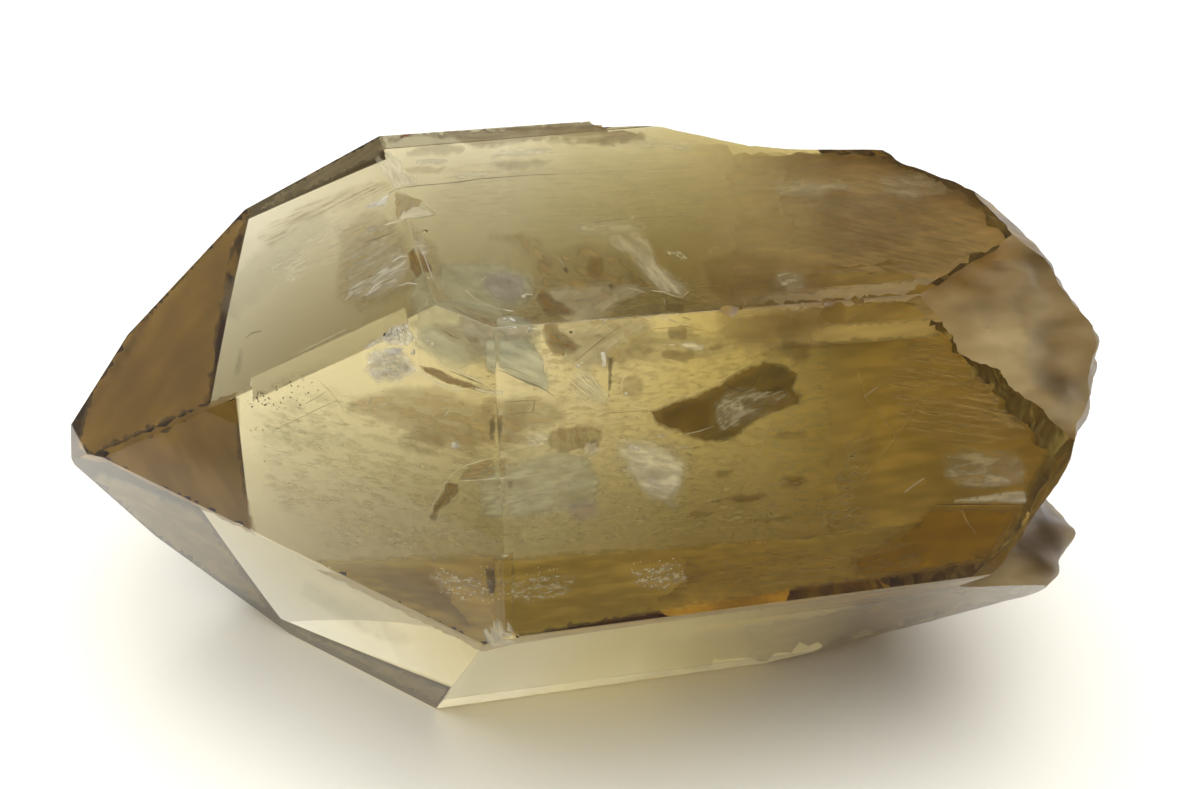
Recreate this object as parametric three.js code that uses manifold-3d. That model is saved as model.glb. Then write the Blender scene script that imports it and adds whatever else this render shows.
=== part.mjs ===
// A natural citrine crystal point: one piece of quartz lying on a prism face.
// Six prism faces run along the c-axis, which is the X axis here; six pyramid
// faces meet at the worn tip on the -X side; the +X end is broken off rough.
// Millimetres, +Z up, resting on the plane z = 0.
import * as THREE from 'three';
import { ConvexGeometry } from 'three/addons/geometries/ConvexGeometry.js';
import { mergeVertices } from 'three/addons/utils/BufferGeometryUtils.js';
import Module from 'manifold-3d';

// ---- driving dimensions -------------------------------------------------
// Growth faces: azimuth about the c-axis (0 = up, -90 = front), inclination
// from the tip direction (quartz: 90 for the prism, 51.8 for the pyramid, with
// small measured departures) and distance from the origin in mm.
const PRISM_FACES = [
  [-0.07, 89.88, 44.555],
  [-60.57, 89.69, 34.352],
  [-120.97, 90.21, 9.632],
  [180.0, 90.0, 0.0],
  [120.08, 90.26, 10.534],
  [60.68, 88.01, 35.636],
];
const PYRAMID_FACES = [
  [-0.84, 50.61, 43.765],
  [-59.89, 51.39, 33.908],
  [-119.58, 50.67, 16.214],
  [179.56, 51.28, 16.059],
  [121.38, 58.67, 19.385],
  [60.11, 51.53, 43.911],
];
const LENGTH_LIMIT = 60; // beyond the broken end, mm
const TIP_WEAR = [ // small worn facets round the tip: direction, distance
  [[-1, 0.1, -0.05], 42.95],
  [[-0.93, -0.18, 0.32], 45.6],
];
// Broken end: depth of the fracture along X, sampled over the cross-section.
const BREAK_Y = [-28, -24, -20, -16, -12, -6, 0, 7, 14, 21, 28];
const BREAK_Z = [47, 42, 37, 32, 27, 22, 18, 13, 8, 3, -2];
const BREAK_X = [
  [20, 21, 22, 25, 30, 31, 31, 27, 20, 16, 14],
  [26, 27, 29, 33, 37.5, 38.5, 37.5, 33, 26, 20, 17],
  [31, 33, 35.5, 38.5, 41.5, 41.5, 39.5, 36, 31, 26, 21],
  [32, 33.5, 36.5, 40.5, 43, 43, 41, 38, 34, 29, 24],
  [30, 31.5, 34, 37, 39.5, 40.5, 40, 38, 35, 31, 26],
  [24, 27, 33, 37.5, 39, 39.5, 39, 38, 36, 32, 28],
  [31, 34.2, 39.5, 43.5, 43, 41, 39, 37, 35, 32, 28],
  [33, 34, 36.5, 40, 40, 38.5, 37, 35, 33, 30, 26],
  [32, 33, 34, 36, 37, 36, 35, 33, 31, 28, 25],
  [26, 27, 28, 30, 32, 33, 32, 31, 29, 27, 24],
  [20, 21, 22, 26, 29, 30, 30, 29, 27, 25, 22],
];
const BREAK_CELLS = 26; // facets across the fracture
const BREAK_RIPPLE = 0.55; // mm
// Flat breaks: each is a point on the plane, the outward normal and the part
// of the length it covers.
const FLAT_BREAKS = [
  { at: [-14.5, -10.9, 44.0], out: [-0.6795, -0.2843, 0.6768], from: -28, to: -16.5 },
  { at: [23.8, -14.1, 44.5], out: [0.336, -0.621, 0.709], from: 18, to: 60 },
  { at: [5.6, 14.8, 44.5], out: [0.11, 0.76, 0.64], from: 5.4, to: 10.6 },
  { at: [10.3, 14.1, 44.5], out: [0.388, 0.663, 0.64], from: 10.6, to: 17.2 },
  { at: [16.8, 10.3, 44.5], out: [0.15, 0.708, 0.69], from: 17.2, to: 60 },
  { at: [20.2, -10.6, 0.0], out: [0.417, -0.464, -0.781], from: 18, to: 60 },
];
// Small chips on the edges: centre, radius.
const EDGE_CHIPS = [
  [[7.2, -14.6, 45.1], 1.1],
  [[15.4, -14.6, 45.0], 0.9],
  [[17.4, -14.8, 44.9], 0.7],
  [[-11.2, -25.9, 24.3], 0.6],
  [[5.4, 15.9, 44.9], 1.3],
];

// ---- helpers --------------------------------------------------------------
const rad = Math.PI / 180;

// outward unit normal from azimuth and inclination
function faceNormal(azimuth, inclination) {
  const s = Math.sin(inclination * rad);
  return new THREE.Vector3(
    -Math.cos(inclination * rad), s * Math.sin(azimuth * rad), s * Math.cos(azimuth * rad));
}

// closed convex solid bounded by half-spaces n.x <= d
function solidFromPlanes(planes) {
  const points = [];
  for (let i = 0; i < planes.length; i++)
    for (let j = i + 1; j < planes.length; j++)
      for (let k = j + 1; k < planes.length; k++) {
        const m = new THREE.Matrix3().set(
          planes[i].n.x, planes[i].n.y, planes[i].n.z,
          planes[j].n.x, planes[j].n.y, planes[j].n.z,
          planes[k].n.x, planes[k].n.y, planes[k].n.z);
        if (Math.abs(m.determinant()) < 1e-6) continue;
        const p = new THREE.Vector3(planes[i].d, planes[j].d, planes[k].d)
          .applyMatrix3(m.clone().invert());
        if (planes.every((q) => q.n.dot(p) <= q.d + 1e-6) &&
          !points.some((q) => q.distanceTo(p) < 1e-5)) points.push(p);
      }
  return new ConvexGeometry(points);
}

function boxPlanes(lo, hi) {
  return [
    { n: new THREE.Vector3(1, 0, 0), d: hi[0] }, { n: new THREE.Vector3(-1, 0, 0), d: -lo[0] },
    { n: new THREE.Vector3(0, 1, 0), d: hi[1] }, { n: new THREE.Vector3(0, -1, 0), d: -lo[1] },
    { n: new THREE.Vector3(0, 0, 1), d: hi[2] }, { n: new THREE.Vector3(0, 0, -1), d: -lo[2] }];
}

// position of a value in a list of stations: index and fraction
function locate(stations, value) {
  const rising = stations[1] > stations[0];
  let i = 0;
  while (i < stations.length - 2 &&
    (rising ? value > stations[i + 1] : value < stations[i + 1])) i++;
  const t = (value - stations[i]) / (stations[i + 1] - stations[i]);
  return [i, THREE.MathUtils.clamp(t, 0, 1)];
}

// fracture depth at (y, z): the samples joined up, plus ripples
function breakDepth(y, z) {
  const [i, a] = locate(BREAK_Y, y);
  const [j, b] = locate(BREAK_Z, z);
  const x = (BREAK_X[j][i] * (1 - a) + BREAK_X[j][i + 1] * a) * (1 - b) +
    (BREAK_X[j + 1][i] * (1 - a) + BREAK_X[j + 1][i + 1] * a) * b;
  return x + BREAK_RIPPLE * (Math.sin(0.9 * y + 0.55 * z) + Math.sin(1.7 * z - 0.8 * y + 1.3));
}

const wasm = await Module();
wasm.setup();

function toManifold(geometry) {
  const g = geometry.clone();
  g.deleteAttribute('normal');
  g.deleteAttribute('uv');
  const m = mergeVertices(g, 1e-4);
  return new wasm.Manifold(new wasm.Mesh({
    numProp: 3,
    vertProperties: new Float32Array(m.attributes.position.array),
    triVerts: new Uint32Array(m.index.array),
  }));
}

function toGeometry(manifold) {
  const mesh = manifold.getMesh();
  const g = new THREE.BufferGeometry();
  g.setAttribute('position', new THREE.BufferAttribute(new Float32Array(mesh.vertProperties), 3));
  g.setIndex(new THREE.BufferAttribute(new Uint32Array(mesh.triVerts), 1));
  const flat = g.toNonIndexed();
  flat.computeVertexNormals();
  return flat;
}

// ---- crystal --------------------------------------------------------------
const planes = [...PRISM_FACES, ...PYRAMID_FACES]
  .map(([azimuth, inclination, d]) => ({ n: faceNormal(azimuth, inclination), d }));
planes.push({ n: new THREE.Vector3(1, 0, 0), d: LENGTH_LIMIT });
for (const [dir, d] of TIP_WEAR) {
  const n = new THREE.Vector3(...dir);
  n.normalize();
  planes.push({ n, d });
}
let crystal = toManifold(solidFromPlanes(planes));

// broken end: a block whose near side follows the fracture
const block = new THREE.BoxGeometry(50, 68, 60, 1, BREAK_CELLS, BREAK_CELLS);
block.translate(75, 0, 22);
const pos = block.attributes.position;
for (let i = 0; i < pos.count; i++)
  if (pos.getX(i) < 51) pos.setX(i, breakDepth(pos.getY(i), pos.getZ(i)));
crystal = crystal.subtract(toManifold(block));

// flat breaks along the edges near the broken end
for (const { at, out, from, to } of FLAT_BREAKS) {
  const n = new THREE.Vector3(...out).normalize();
  const cut = boxPlanes([from, -40, -10], [to, 45, 60]);
  cut.push({ n: n.clone().negate(), d: -n.dot(new THREE.Vector3(...at)) });
  crystal = crystal.subtract(toManifold(solidFromPlanes(cut)));
}

// small conchoidal chips
for (const [centre, radius] of EDGE_CHIPS) {
  const chip = new THREE.IcosahedronGeometry(radius, 1);
  chip.translate(...centre);
  crystal = crystal.subtract(toManifold(chip));
}

// ---- part -------------------------------------------------------------------
const citrine = new THREE.MeshStandardMaterial({
  name: 'citrine', color: 0xa08a52, roughness: 0.08, metalness: 0,
  transparent: true, opacity: 0.75,
});
const mesh = new THREE.Mesh(toGeometry(crystal), citrine);
mesh.name = 'crystal';
const part = new THREE.Group();
part.name = 'citrine_crystal_point';
part.add(mesh);
export default part;
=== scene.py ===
import bpy, bmesh, math, random
from mathutils import Vector, Matrix, noise
from mathutils.geometry import delaunay_2d_cdt
from itertools import combinations


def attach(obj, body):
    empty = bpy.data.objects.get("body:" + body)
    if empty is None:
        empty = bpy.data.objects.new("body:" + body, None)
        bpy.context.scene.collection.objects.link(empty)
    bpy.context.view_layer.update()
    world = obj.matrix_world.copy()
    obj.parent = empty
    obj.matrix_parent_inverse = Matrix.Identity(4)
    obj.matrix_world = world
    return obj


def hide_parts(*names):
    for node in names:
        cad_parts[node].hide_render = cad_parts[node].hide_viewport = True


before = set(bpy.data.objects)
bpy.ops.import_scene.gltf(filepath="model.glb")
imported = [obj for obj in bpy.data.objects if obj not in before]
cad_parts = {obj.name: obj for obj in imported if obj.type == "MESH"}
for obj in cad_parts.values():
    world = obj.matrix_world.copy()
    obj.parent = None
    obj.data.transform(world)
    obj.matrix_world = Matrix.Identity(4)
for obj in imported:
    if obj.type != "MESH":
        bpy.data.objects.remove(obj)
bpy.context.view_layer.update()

MM = 0.001
scene = bpy.context.scene

# ---------------------------------------------------------------- camera
cam_data = bpy.data.cameras.new("photo_camera")
cam = bpy.data.objects.new("photo_camera", cam_data)
scene.collection.objects.link(cam)
cam_right = Vector((0.97146, -0.22736, 0.06759))
cam_up = Vector((0.08746, 0.60822, 0.78893))
cam_fwd = Vector((0.22048, 0.76051, -0.61075))
rot = Matrix((cam_right, cam_up, -cam_fwd)).transposed()
cam.matrix_world = Matrix.Translation(Vector((-32.04, -101.93, 108.13)) * MM) @ rot.to_4x4()
cam_data.sensor_fit = "HORIZONTAL"
cam_data.sensor_width = 36.0
cam_data.lens = 36.0 * 1518.88 / 1200.0
cam_data.shift_x = (600.0 - 544.94) / 1200.0
cam_data.shift_y = (396.52 - 394.5) / 1200.0
cam_data.clip_start = 0.005
cam_data.clip_end = 20.0
scene.camera = cam

# ---------------------------------------------------------------- crystal numbers (same as the CAD part)
PRISM = [(-0.07, 89.88, 44.555), (-60.57, 89.69, 34.352), (-120.97, 90.21, 9.632),
         (180.0, 90.0, 0.0), (120.08, 90.26, 10.534), (60.68, 88.01, 35.636)]
PYRAMID = [(-0.84, 50.61, 43.765), (-59.89, 51.39, 33.908), (-119.58, 50.67, 16.214),
           (179.56, 51.28, 16.059), (121.38, 58.67, 19.385), (60.11, 51.53, 43.911)]
TIP_WEAR = [((-1, 0.1, -0.05), 42.95), ((-0.93, -0.18, 0.32), 45.6)]
BREAK_Y = [-28, -24, -20, -16, -12, -6, 0, 7, 14, 21, 28]
BREAK_Z = [47, 42, 37, 32, 27, 22, 18, 13, 8, 3, -2]
BREAK_X = [
    [20, 21, 22, 25, 30, 31, 31, 27, 20, 16, 14],
    [26, 27, 29, 33, 37.5, 38.5, 37.5, 33, 26, 20, 17],
    [31, 33, 35.5, 38.5, 41.5, 41.5, 39.5, 36, 31, 26, 21],
    [32, 33.5, 36.5, 40.5, 43, 43, 41, 38, 34, 29, 24],
    [30, 31.5, 34, 37, 39.5, 40.5, 40, 38, 35, 31, 26],
    [24, 27, 33, 37.5, 39, 39.5, 39, 38, 36, 32, 28],
    [31, 34.2, 39.5, 43.5, 43, 41, 39, 37, 35, 32, 28],
    [33, 34, 36.5, 40, 40, 38.5, 37, 35, 33, 30, 26],
    [32, 33, 34, 36, 37, 36, 35, 33, 31, 28, 25],
    [26, 27, 28, 30, 32, 33, 32, 31, 29, 27, 24],
    [20, 21, 22, 26, 29, 30, 30, 29, 27, 25, 22]]
FLAT_BREAKS = [
    ((-14.5, -10.9, 44.0), (-0.6795, -0.2843, 0.6768), -28, -16.5),
    ((23.8, -14.1, 44.5), (0.336, -0.621, 0.709), 18, 60),
    ((5.6, 14.8, 44.5), (0.11, 0.76, 0.64), 5.4, 10.9),
    ((10.3, 14.1, 44.5), (0.388, 0.663, 0.64), 10.3, 17.5),
    ((16.8, 10.3, 44.5), (0.15, 0.708, 0.69), 16.9, 60),
    ((20.2, -10.6, 0.0), (0.417, -0.464, -0.781), 18, 60)]


def face_normal(az, inc):
    a, i = math.radians(az), math.radians(inc)
    return Vector((-math.cos(i), math.sin(i) * math.sin(a), math.sin(i) * math.cos(a)))


def new_object(name, mesh):
    ob = bpy.data.objects.new(name, mesh)
    scene.collection.objects.link(ob)
    return ob


def convex_from_planes(planes, name):
    """planes: (normal, distance) in mm -> mesh object in metres."""
    pts = []
    for (n1, d1), (n2, d2), (n3, d3) in combinations(planes, 3):
        m = Matrix((n1, n2, n3))
        if abs(m.determinant()) < 1e-5:
            continue
        p = m.inverted() @ Vector((d1, d2, d3))
        if all(n.dot(p) <= d + 1e-5 for n, d in planes) and all((p - q).length > 1e-4 for q in pts):
            pts.append(p)
    bm = bmesh.new()
    for p in pts:
        bm.verts.new(p * MM)
    bmesh.ops.convex_hull(bm, input=bm.verts)
    bmesh.ops.dissolve_limit(bm, angle_limit=math.radians(0.05), verts=bm.verts, edges=bm.edges)
    bmesh.ops.recalc_face_normals(bm, faces=bm.faces)
    me = bpy.data.meshes.new(name)
    bm.to_mesh(me)
    bm.free()
    return new_object(name, me)


def apply_all(ob):
    dg = bpy.context.evaluated_depsgraph_get()
    ev = ob.evaluated_get(dg)
    me = bpy.data.meshes.new_from_object(ev, depsgraph=dg)
    ob.modifiers.clear()
    old = ob.data
    ob.data = me
    bpy.data.meshes.remove(old)


def cut(ob, cutter, operation="DIFFERENCE"):
    md = ob.modifiers.new("cut", "BOOLEAN")
    md.operation = operation
    md.solver = "MANIFOLD"
    md.object = cutter
    apply_all(ob)
    me = cutter.data
    bpy.data.objects.remove(cutter)
    bpy.data.meshes.remove(me)


def box_planes(lo, hi):
    out = []
    for k in range(3):
        e = Vector((0, 0, 0)); e[k] = 1
        out.append((e.copy(), hi[k])); out.append((-e, -lo[k]))
    return out


# ---------------------------------------------------------------- crystal body
planes = [(face_normal(a, i), d) for a, i, d in PRISM + PYRAMID]
planes.append((Vector((1, 0, 0)), 60.0))
for v, d in TIP_WEAR:
    planes.append((Vector(v).normalized(), d))
crystal = convex_from_planes(planes, "crystal_body")
md = crystal.modifiers.new("wear", "BEVEL")
md.width = 0.10 * MM
md.segments = 2
md.limit_method = "ANGLE"
md.angle_limit = math.radians(8)
apply_all(crystal)


def smooth01(t):
    return t * t * (3 - 2 * t)


def locate(st, v):
    rising = st[1] > st[0]
    i = 0
    while i < len(st) - 2 and (v > st[i + 1] if rising else v < st[i + 1]):
        i += 1
    return i, min(1.0, max(0.0, (v - st[i]) / (st[i + 1] - st[i])))


def break_depth(y, z):
    i, a = locate(BREAK_Y, y)
    j, b = locate(BREAK_Z, z)
    a = 0.5 * a + 0.5 * smooth01(a)
    b = 0.5 * b + 0.5 * smooth01(b)
    x = (BREAK_X[j][i] * (1 - a) + BREAK_X[j][i + 1] * a) * (1 - b) + \
        (BREAK_X[j + 1][i] * (1 - a) + BREAK_X[j + 1][i + 1] * a) * b
    x += 1.2 * noise.noise(Vector((y * 0.13, z * 0.13, 3.7)))
    x += 0.75 * (abs(noise.noise(Vector((y * 0.34, z * 0.34, 1.3)))) - 0.2)
    x += 0.35 * (abs(noise.noise(Vector((y * 0.8 + 3.0, z * 0.8, 2.1)))) - 0.2)
    x += 0.08 * noise.noise(Vector((y * 2.2, z * 2.2, 5.0)))
    return x


def break_block(n=190, back=0.0):
    ys = [-34 + 68 * k / n for k in range(n + 1)]
    zs = [-8 + 60 * k / n for k in range(n + 1)]
    verts, faces = [], []
    for z in zs:
        for y in ys:
            verts.append(((break_depth(y, z) - back) * MM, y * MM, z * MM))
    w = n + 1
    for j in range(n):
        for i in range(n):
            a = j * w + i
            faces.append((a, a + w, a + w + 1, a + 1))
    base = len(verts)
    rim = [i for i in range(w)] + [j * w + n for j in range(1, w)] + \
          [n * w + i for i in range(n - 1, -1, -1)] + [j * w for j in range(n - 1, 0, -1)]
    for r in rim:
        verts.append((0.1, verts[r][1], verts[r][2]))
    m = len(rim)
    for k in range(m):
        k2 = (k + 1) % m
        faces.append((rim[k], rim[k2], base + k2, base + k))
    faces.append(tuple(base + k for k in range(m)))
    me = bpy.data.meshes.new("break_block")
    me.from_pydata(verts, [], faces)
    ob = new_object("break_block", me)
    bm = bmesh.new(); bm.from_mesh(me)
    bmesh.ops.recalc_face_normals(bm, faces=bm.faces)
    bm.to_mesh(me); bm.free()
    return ob


def rough_break(at, out, x0, x1, amp, n=90):
    """A block whose lower side is a slightly uneven break, lying in the plane through `at`."""
    at, out = Vector(at), Vector(out).normalized()
    along = (Vector((1, 0, 0)) - out * out.x).normalized()
    across = out.cross(along)
    u0, u1 = (x0 - at.x) / along.x, (x1 - at.x) / along.x
    verts, faces = [], []
    for j in range(n + 1):
        for i in range(n + 1):
            u = u0 + (u1 - u0) * i / n
            v = -26 + 52 * j / n
            p = at + along * u + across * v
            h = amp * (noise.noise(Vector((p.x * 0.10, p.y * 0.16, p.z * 0.16))) * 1.5
                       + 0.45 * noise.noise(Vector((p.x * 0.22, p.y * 0.6, p.z * 0.6)))
                       + 0.12 * noise.noise(Vector((p.x * 0.8, p.y * 2.2, p.z * 2.2))))
            verts.append((p + out * h) * MM)
    w = n + 1
    faces = [(j * w + i, j * w + i + 1, (j + 1) * w + i + 1, (j + 1) * w + i) for j in range(n) for i in range(n)]
    base = len(verts)
    rim = list(range(w)) + [j * w + n for j in range(1, w)] + \
        [n * w + i for i in range(n - 1, -1, -1)] + [j * w for j in range(n - 1, 0, -1)]
    for r in rim:
        verts.append(Vector(verts[r]) + out * 30 * MM)
    m = len(rim)
    faces += [(rim[k], rim[(k + 1) % m], base + (k + 1) % m, base + k) for k in range(m)]
    faces.append(tuple(base + k for k in range(m)))
    me = bpy.data.meshes.new("rough_break")
    me.from_pydata(verts, [], faces)
    bm = bmesh.new(); bm.from_mesh(me)
    bmesh.ops.recalc_face_normals(bm, faces=bm.faces)
    bm.to_mesh(me); bm.free()
    return new_object("rough_break", me)


cut(crystal, break_block())
for at, out, x0, x1 in FLAT_BREAKS:
    if at[0] < 0:
        n = Vector(out).normalized()
        pl = box_planes((x0, -40, -10), (x1, 45, 60)) + [(-n, -n.dot(Vector(at)))]
        cut(crystal, convex_from_planes(pl, "flat_break"))
    else:
        cut(crystal, rough_break(at, out, x0, min(x1, x0 + 45), 0.7 if at[0] > 20 else 0.35))

# small chips along the edges
CHIPS = [((7.2, -14.6, 45.1), 1.1), ((15.4, -14.6, 45.0), 0.9), ((17.4, -14.8, 44.9), 0.7),
         ((-11.2, -25.9, 24.3), 0.6), ((5.4, 15.9, 44.9), 1.3)]
CHIPPED_EDGES = [((-10.8, -14.3, 44.6), (22.0, -14.5, 44.7), 26), ((-14.5, -10.9, 44.5), (-40.6, -0.9, 27.3), 20),
                 ((-11.3, -25.8, 24.2), (26.0, -26.6, 22.6), 16), ((-11.0, -14.3, 44.4), (-11.3, -25.8, 24.4), 12),
                 ((-10.8, -14.2, 44.6), (-17.0, 14.0, 44.6), 9), ((-12.8, -25.1, 23.0), (-40.0, -1.0, 24.0), 12),
                 ((-14.0, 16.2, 44.5), (5.0, 16.0, 44.6), 12)]
rng = random.Random(7)
for a, b, count in CHIPPED_EDGES:
    for k in range(count):
        t = rng.random()
        p = Vector(a).lerp(Vector(b), t) + Vector([rng.uniform(-0.12, 0.12) for i in range(3)])
        CHIPS.append((tuple(p), rng.uniform(0.10, 0.24) * (1.5 if rng.random() < 0.12 else 1.0)))
bm = bmesh.new()
for at, r in CHIPS:
    m = Matrix.Translation(Vector(at) * MM) @ Matrix.Rotation(rng.uniform(0, 6.28), 4, Vector((rng.uniform(-1, 1), rng.uniform(-1, 1), 1)).normalized()) \
        @ Matrix.Diagonal((rng.uniform(0.9, 2.2), rng.uniform(0.7, 1.1), rng.uniform(0.6, 1.0), 1))
    bmesh.ops.create_icosphere(bm, subdivisions=1 if r < 0.6 else 2, radius=r * MM, matrix=m)
me = bpy.data.meshes.new("chips")
bm.to_mesh(me); bm.free()
chips = new_object("chips", me)
md = crystal.modifiers.new("chips", "BOOLEAN")
md.operation = "DIFFERENCE"
md.solver = "EXACT"
md.use_self = True
md.object = chips
apply_all(crystal)
bpy.data.objects.remove(chips)
bpy.data.meshes.remove(me)

# growth faces are polished by nature, broken ones are frosted
flat = [(face_normal(a, i), d) for a, i, d in PRISM + PYRAMID]
frost = crystal.data.attributes.new("frost", "FLOAT", "FACE")
for p in crystal.data.polygons:
    c = Vector(p.center) / MM
    grown = any(abs(n.dot(c) - d) < 0.02 and n.dot(p.normal) > 0.999 for n, d in flat)
    frost.data[p.index].value = 0.0 if grown or c.x < 4.0 else 1.0

crystal.name = "crystal_point"
crystal.data.name = "crystal_point"
crystal.data.set_sharp_from_angle(angle=math.radians(22))
for p in crystal.data.polygons:
    p.use_smooth = crystal.data.attributes["frost"].data[p.index].value > 0.5  # growth faces stay perfectly flat

# ---------------------------------------------------------------- materials
def node_material(name):
    mat = bpy.data.materials.new(name)
    mat.use_nodes = True
    nt = mat.node_tree
    nt.nodes.clear()
    out = nt.nodes.new("ShaderNodeOutputMaterial")
    return mat, nt, out


def citrine_material():
    mat, nt, out = node_material("citrine")
    bsdf = nt.nodes.new("ShaderNodeBsdfPrincipled")
    bsdf.inputs["Base Color"].default_value = (1, 1, 1, 1)
    bsdf.inputs["Transmission Weight"].default_value = 1.0
    bsdf.inputs["IOR"].default_value = 1.544
    bsdf.inputs["Roughness"].default_value = 0.0
    nt.links.new(bsdf.outputs[0], out.inputs["Surface"])
    vol = nt.nodes.new("ShaderNodeVolumeAbsorption")
    vol.inputs["Color"].default_value = (0.70, 0.61, 0.26, 1)
    vol.inputs["Density"].default_value = 40.0
    nt.links.new(vol.outputs[0], out.inputs["Volume"])
    at = nt.nodes.new("ShaderNodeAttribute")
    at.attribute_name = "frost"
    broken = at.outputs["Fac"]

    def remap(source, a, b, lo=0.0, hi=1.0):
        m = nt.nodes.new("ShaderNodeMapRange")
        m.inputs["From Min"].default_value = lo
        m.inputs["From Max"].default_value = hi
        m.inputs["To Min"].default_value = a
        m.inputs["To Max"].default_value = b
        nt.links.new(source, m.inputs["Value"])
        return m.outputs[0]

    def both(op, x, y):
        m = nt.nodes.new("ShaderNodeMath")
        m.operation = op
        for sock, v in zip(m.inputs, (x, y)):
            if isinstance(v, float):
                sock.default_value = v
            else:
                nt.links.new(v, sock)
        return m.outputs[0]

    def grain(scale, detail):
        mp = nt.nodes.new("ShaderNodeMapping")
        mp.inputs["Scale"].default_value = scale
        nt.links.new(tc.outputs["Object"], mp.inputs["Vector"])
        nz = nt.nodes.new("ShaderNodeTexNoise")
        nz.inputs["Scale"].default_value = 1.0
        nz.inputs["Detail"].default_value = detail
        nt.links.new(mp.outputs[0], nz.inputs["Vector"])
        return nz.outputs["Fac"]

    tc = nt.nodes.new("ShaderNodeTexCoord")
    clouds = grain((70, 170, 170), 2.0)
    streaks = grain((90, 900, 900), 1.0)
    frost = broken
    # the break: frosted and milky in patches, brown between, with fine lines along the crystal
    nt.links.new(both("MULTIPLY", frost, remap(clouds, 0.30, 0.55, 0.35, 0.65)), bsdf.inputs["Roughness"])
    milky = both("MULTIPLY", frost, remap(clouds, 0.10, 0.62, 0.36, 0.66))
    nt.links.new(both("SUBTRACT", 1.0, milky), bsdf.inputs["Transmission Weight"])
    ramp = nt.nodes.new("ShaderNodeValToRGB")
    ramp.color_ramp.elements[0].position = 0.36
    ramp.color_ramp.elements[0].color = (0.29, 0.175, 0.04, 1)
    ramp.color_ramp.elements[1].position = 0.66
    ramp.color_ramp.elements[1].color = (0.52, 0.385, 0.17, 1)
    nt.links.new(both("ADD", both("MULTIPLY", clouds, 0.65), both("MULTIPLY", streaks, 0.35)), ramp.inputs[0])
    hue = nt.nodes.new("ShaderNodeMix")
    hue.data_type = "RGBA"
    hue.inputs["A"].default_value = (1, 1, 1, 1)
    nt.links.new(ramp.outputs[0], hue.inputs["B"])
    nt.links.new(frost, hue.inputs["Factor"])
    nt.links.new(hue.outputs["Result"], bsdf.inputs["Base Color"])
    return mat


citrine = citrine_material()
crystal.data.materials.clear()
crystal.data.materials.append(citrine)
for p in crystal.data.polygons:
    p.material_index = 0
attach(crystal, "root")
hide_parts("crystal")

# ---------------------------------------------------------------- smoky zones towards the broken end
def smoke_material(name, colour, density):
    mat, nt, out = node_material(name)
    clear = nt.nodes.new("ShaderNodeBsdfTransparent")
    nt.links.new(clear.outputs[0], out.inputs["Surface"])
    vol = nt.nodes.new("ShaderNodeVolumeAbsorption")
    vol.inputs["Color"].default_value = colour
    vol.inputs["Density"].default_value = density
    nt.links.new(vol.outputs[0], out.inputs["Volume"])
    return mat


def smoky_zone(name, normal, start, inset, colour, density):
    """The part of the crystal past a plane, kept a little inside every outer surface."""
    n = Vector(normal).normalized()
    pl = [(face_normal(a, i), d - inset) for a, i, d in PRISM + PYRAMID]
    pl += [(Vector((1, 0, 0)), 60.0), (-n, -start)]
    ob = convex_from_planes(pl, name)
    cut(ob, break_block(60, back=inset))
    for at, out, x0, x1 in FLAT_BREAKS:
        if at[0] < 0:
            continue
        m = Vector(out).normalized()
        bp = box_planes((x0 - inset, -40, -10), (x1, 45, 60)) + [(-m, -m.dot(Vector(at)) + inset)]
        cut(ob, convex_from_planes(bp, "flat_break"))
    ob.name = name
    ob.data.name = name
    ob.data.materials.clear()
    ob.data.materials.append(smoke_material(name, colour, density))
    for p in ob.data.polygons:
        p.material_index = 0
    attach(ob, "root")
    return ob


SMOKE = (0.80, 0.70, 0.25, 1)
smoky_zone("smoky_zone_wide", (0.987, 0.056, -0.152), -3.0, 0.4, SMOKE, 18.0)
smoky_zone("smoky_zone_deep", (0.987, 0.056, -0.152), 8.0, 0.6, SMOKE, 18.0)

# ---------------------------------------------------------------- what is sealed in the crystal
# Healed cracks, veils and specks, with some sheets of painted shade and painted reflection, each laid on a plane inside
# the crystal. Their outlines are given where they are seen in the frame, and are carried along the bent line of sight
# from the face that they are seen through.
FACES = ["M1", "M2", "M3", "M4", "M5", "M6", "R1", "R2", "R3", "R4", "R5", "R6"]
GROWN = {k: (face_normal(a, i), d) for k, (a, i, d) in zip(FACES, PRISM + PYRAMID)}
EYE = Vector((-32.04, -101.93, 108.13))


def sight(px, py, face):
    """Where the line of sight enters a face, and its direction inside."""
    d = (cam_fwd + cam_right * ((px - 544.94) / 1518.88) - cam_up * ((py - 396.52) / 1518.88)).normalized()
    n, dist = GROWN[face]
    p = EYE + d * ((dist - EYE.dot(n)) / d.dot(n))
    c = -d.dot(n)
    t = d / 1.544 + n * (c / 1.544 - math.sqrt(max(0.0, 1 - (1 - c * c) / 1.544 ** 2)))
    return p, t.normalized()


def room(p, t):
    """How far one can go inside before an outer surface."""
    far = 80.0
    for n, d in GROWN.values():
        s = n.dot(t)
        if s > 1e-4:
            far = min(far, (d - 0.7 - n.dot(p)) / s)
    while far > 0.8:
        q = p + t * far
        if q.x < break_depth(q.y, q.z) - 1.0 and all(
                (q - Vector(at)).dot(Vector(out).normalized()) < -0.8 or not (x0 - 1 < q.x < x1)
                for at, out, x0, x1 in FLAT_BREAKS if at[0] > 0):
            break
        far -= 0.5
    return max(0.6, far)


def on_body(p, slack=0.15):
    return all(p.dot(n) <= d + slack for n, d in GROWN.values()) and p.x < break_depth(p.y, p.z) - 0.5 and all(
        (p - Vector(at)).dot(Vector(out).normalized()) < -0.4 or not (x0 < p.x < x1)
        for at, out, x0, x1 in FLAT_BREAKS if at[0] > 0)


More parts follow.
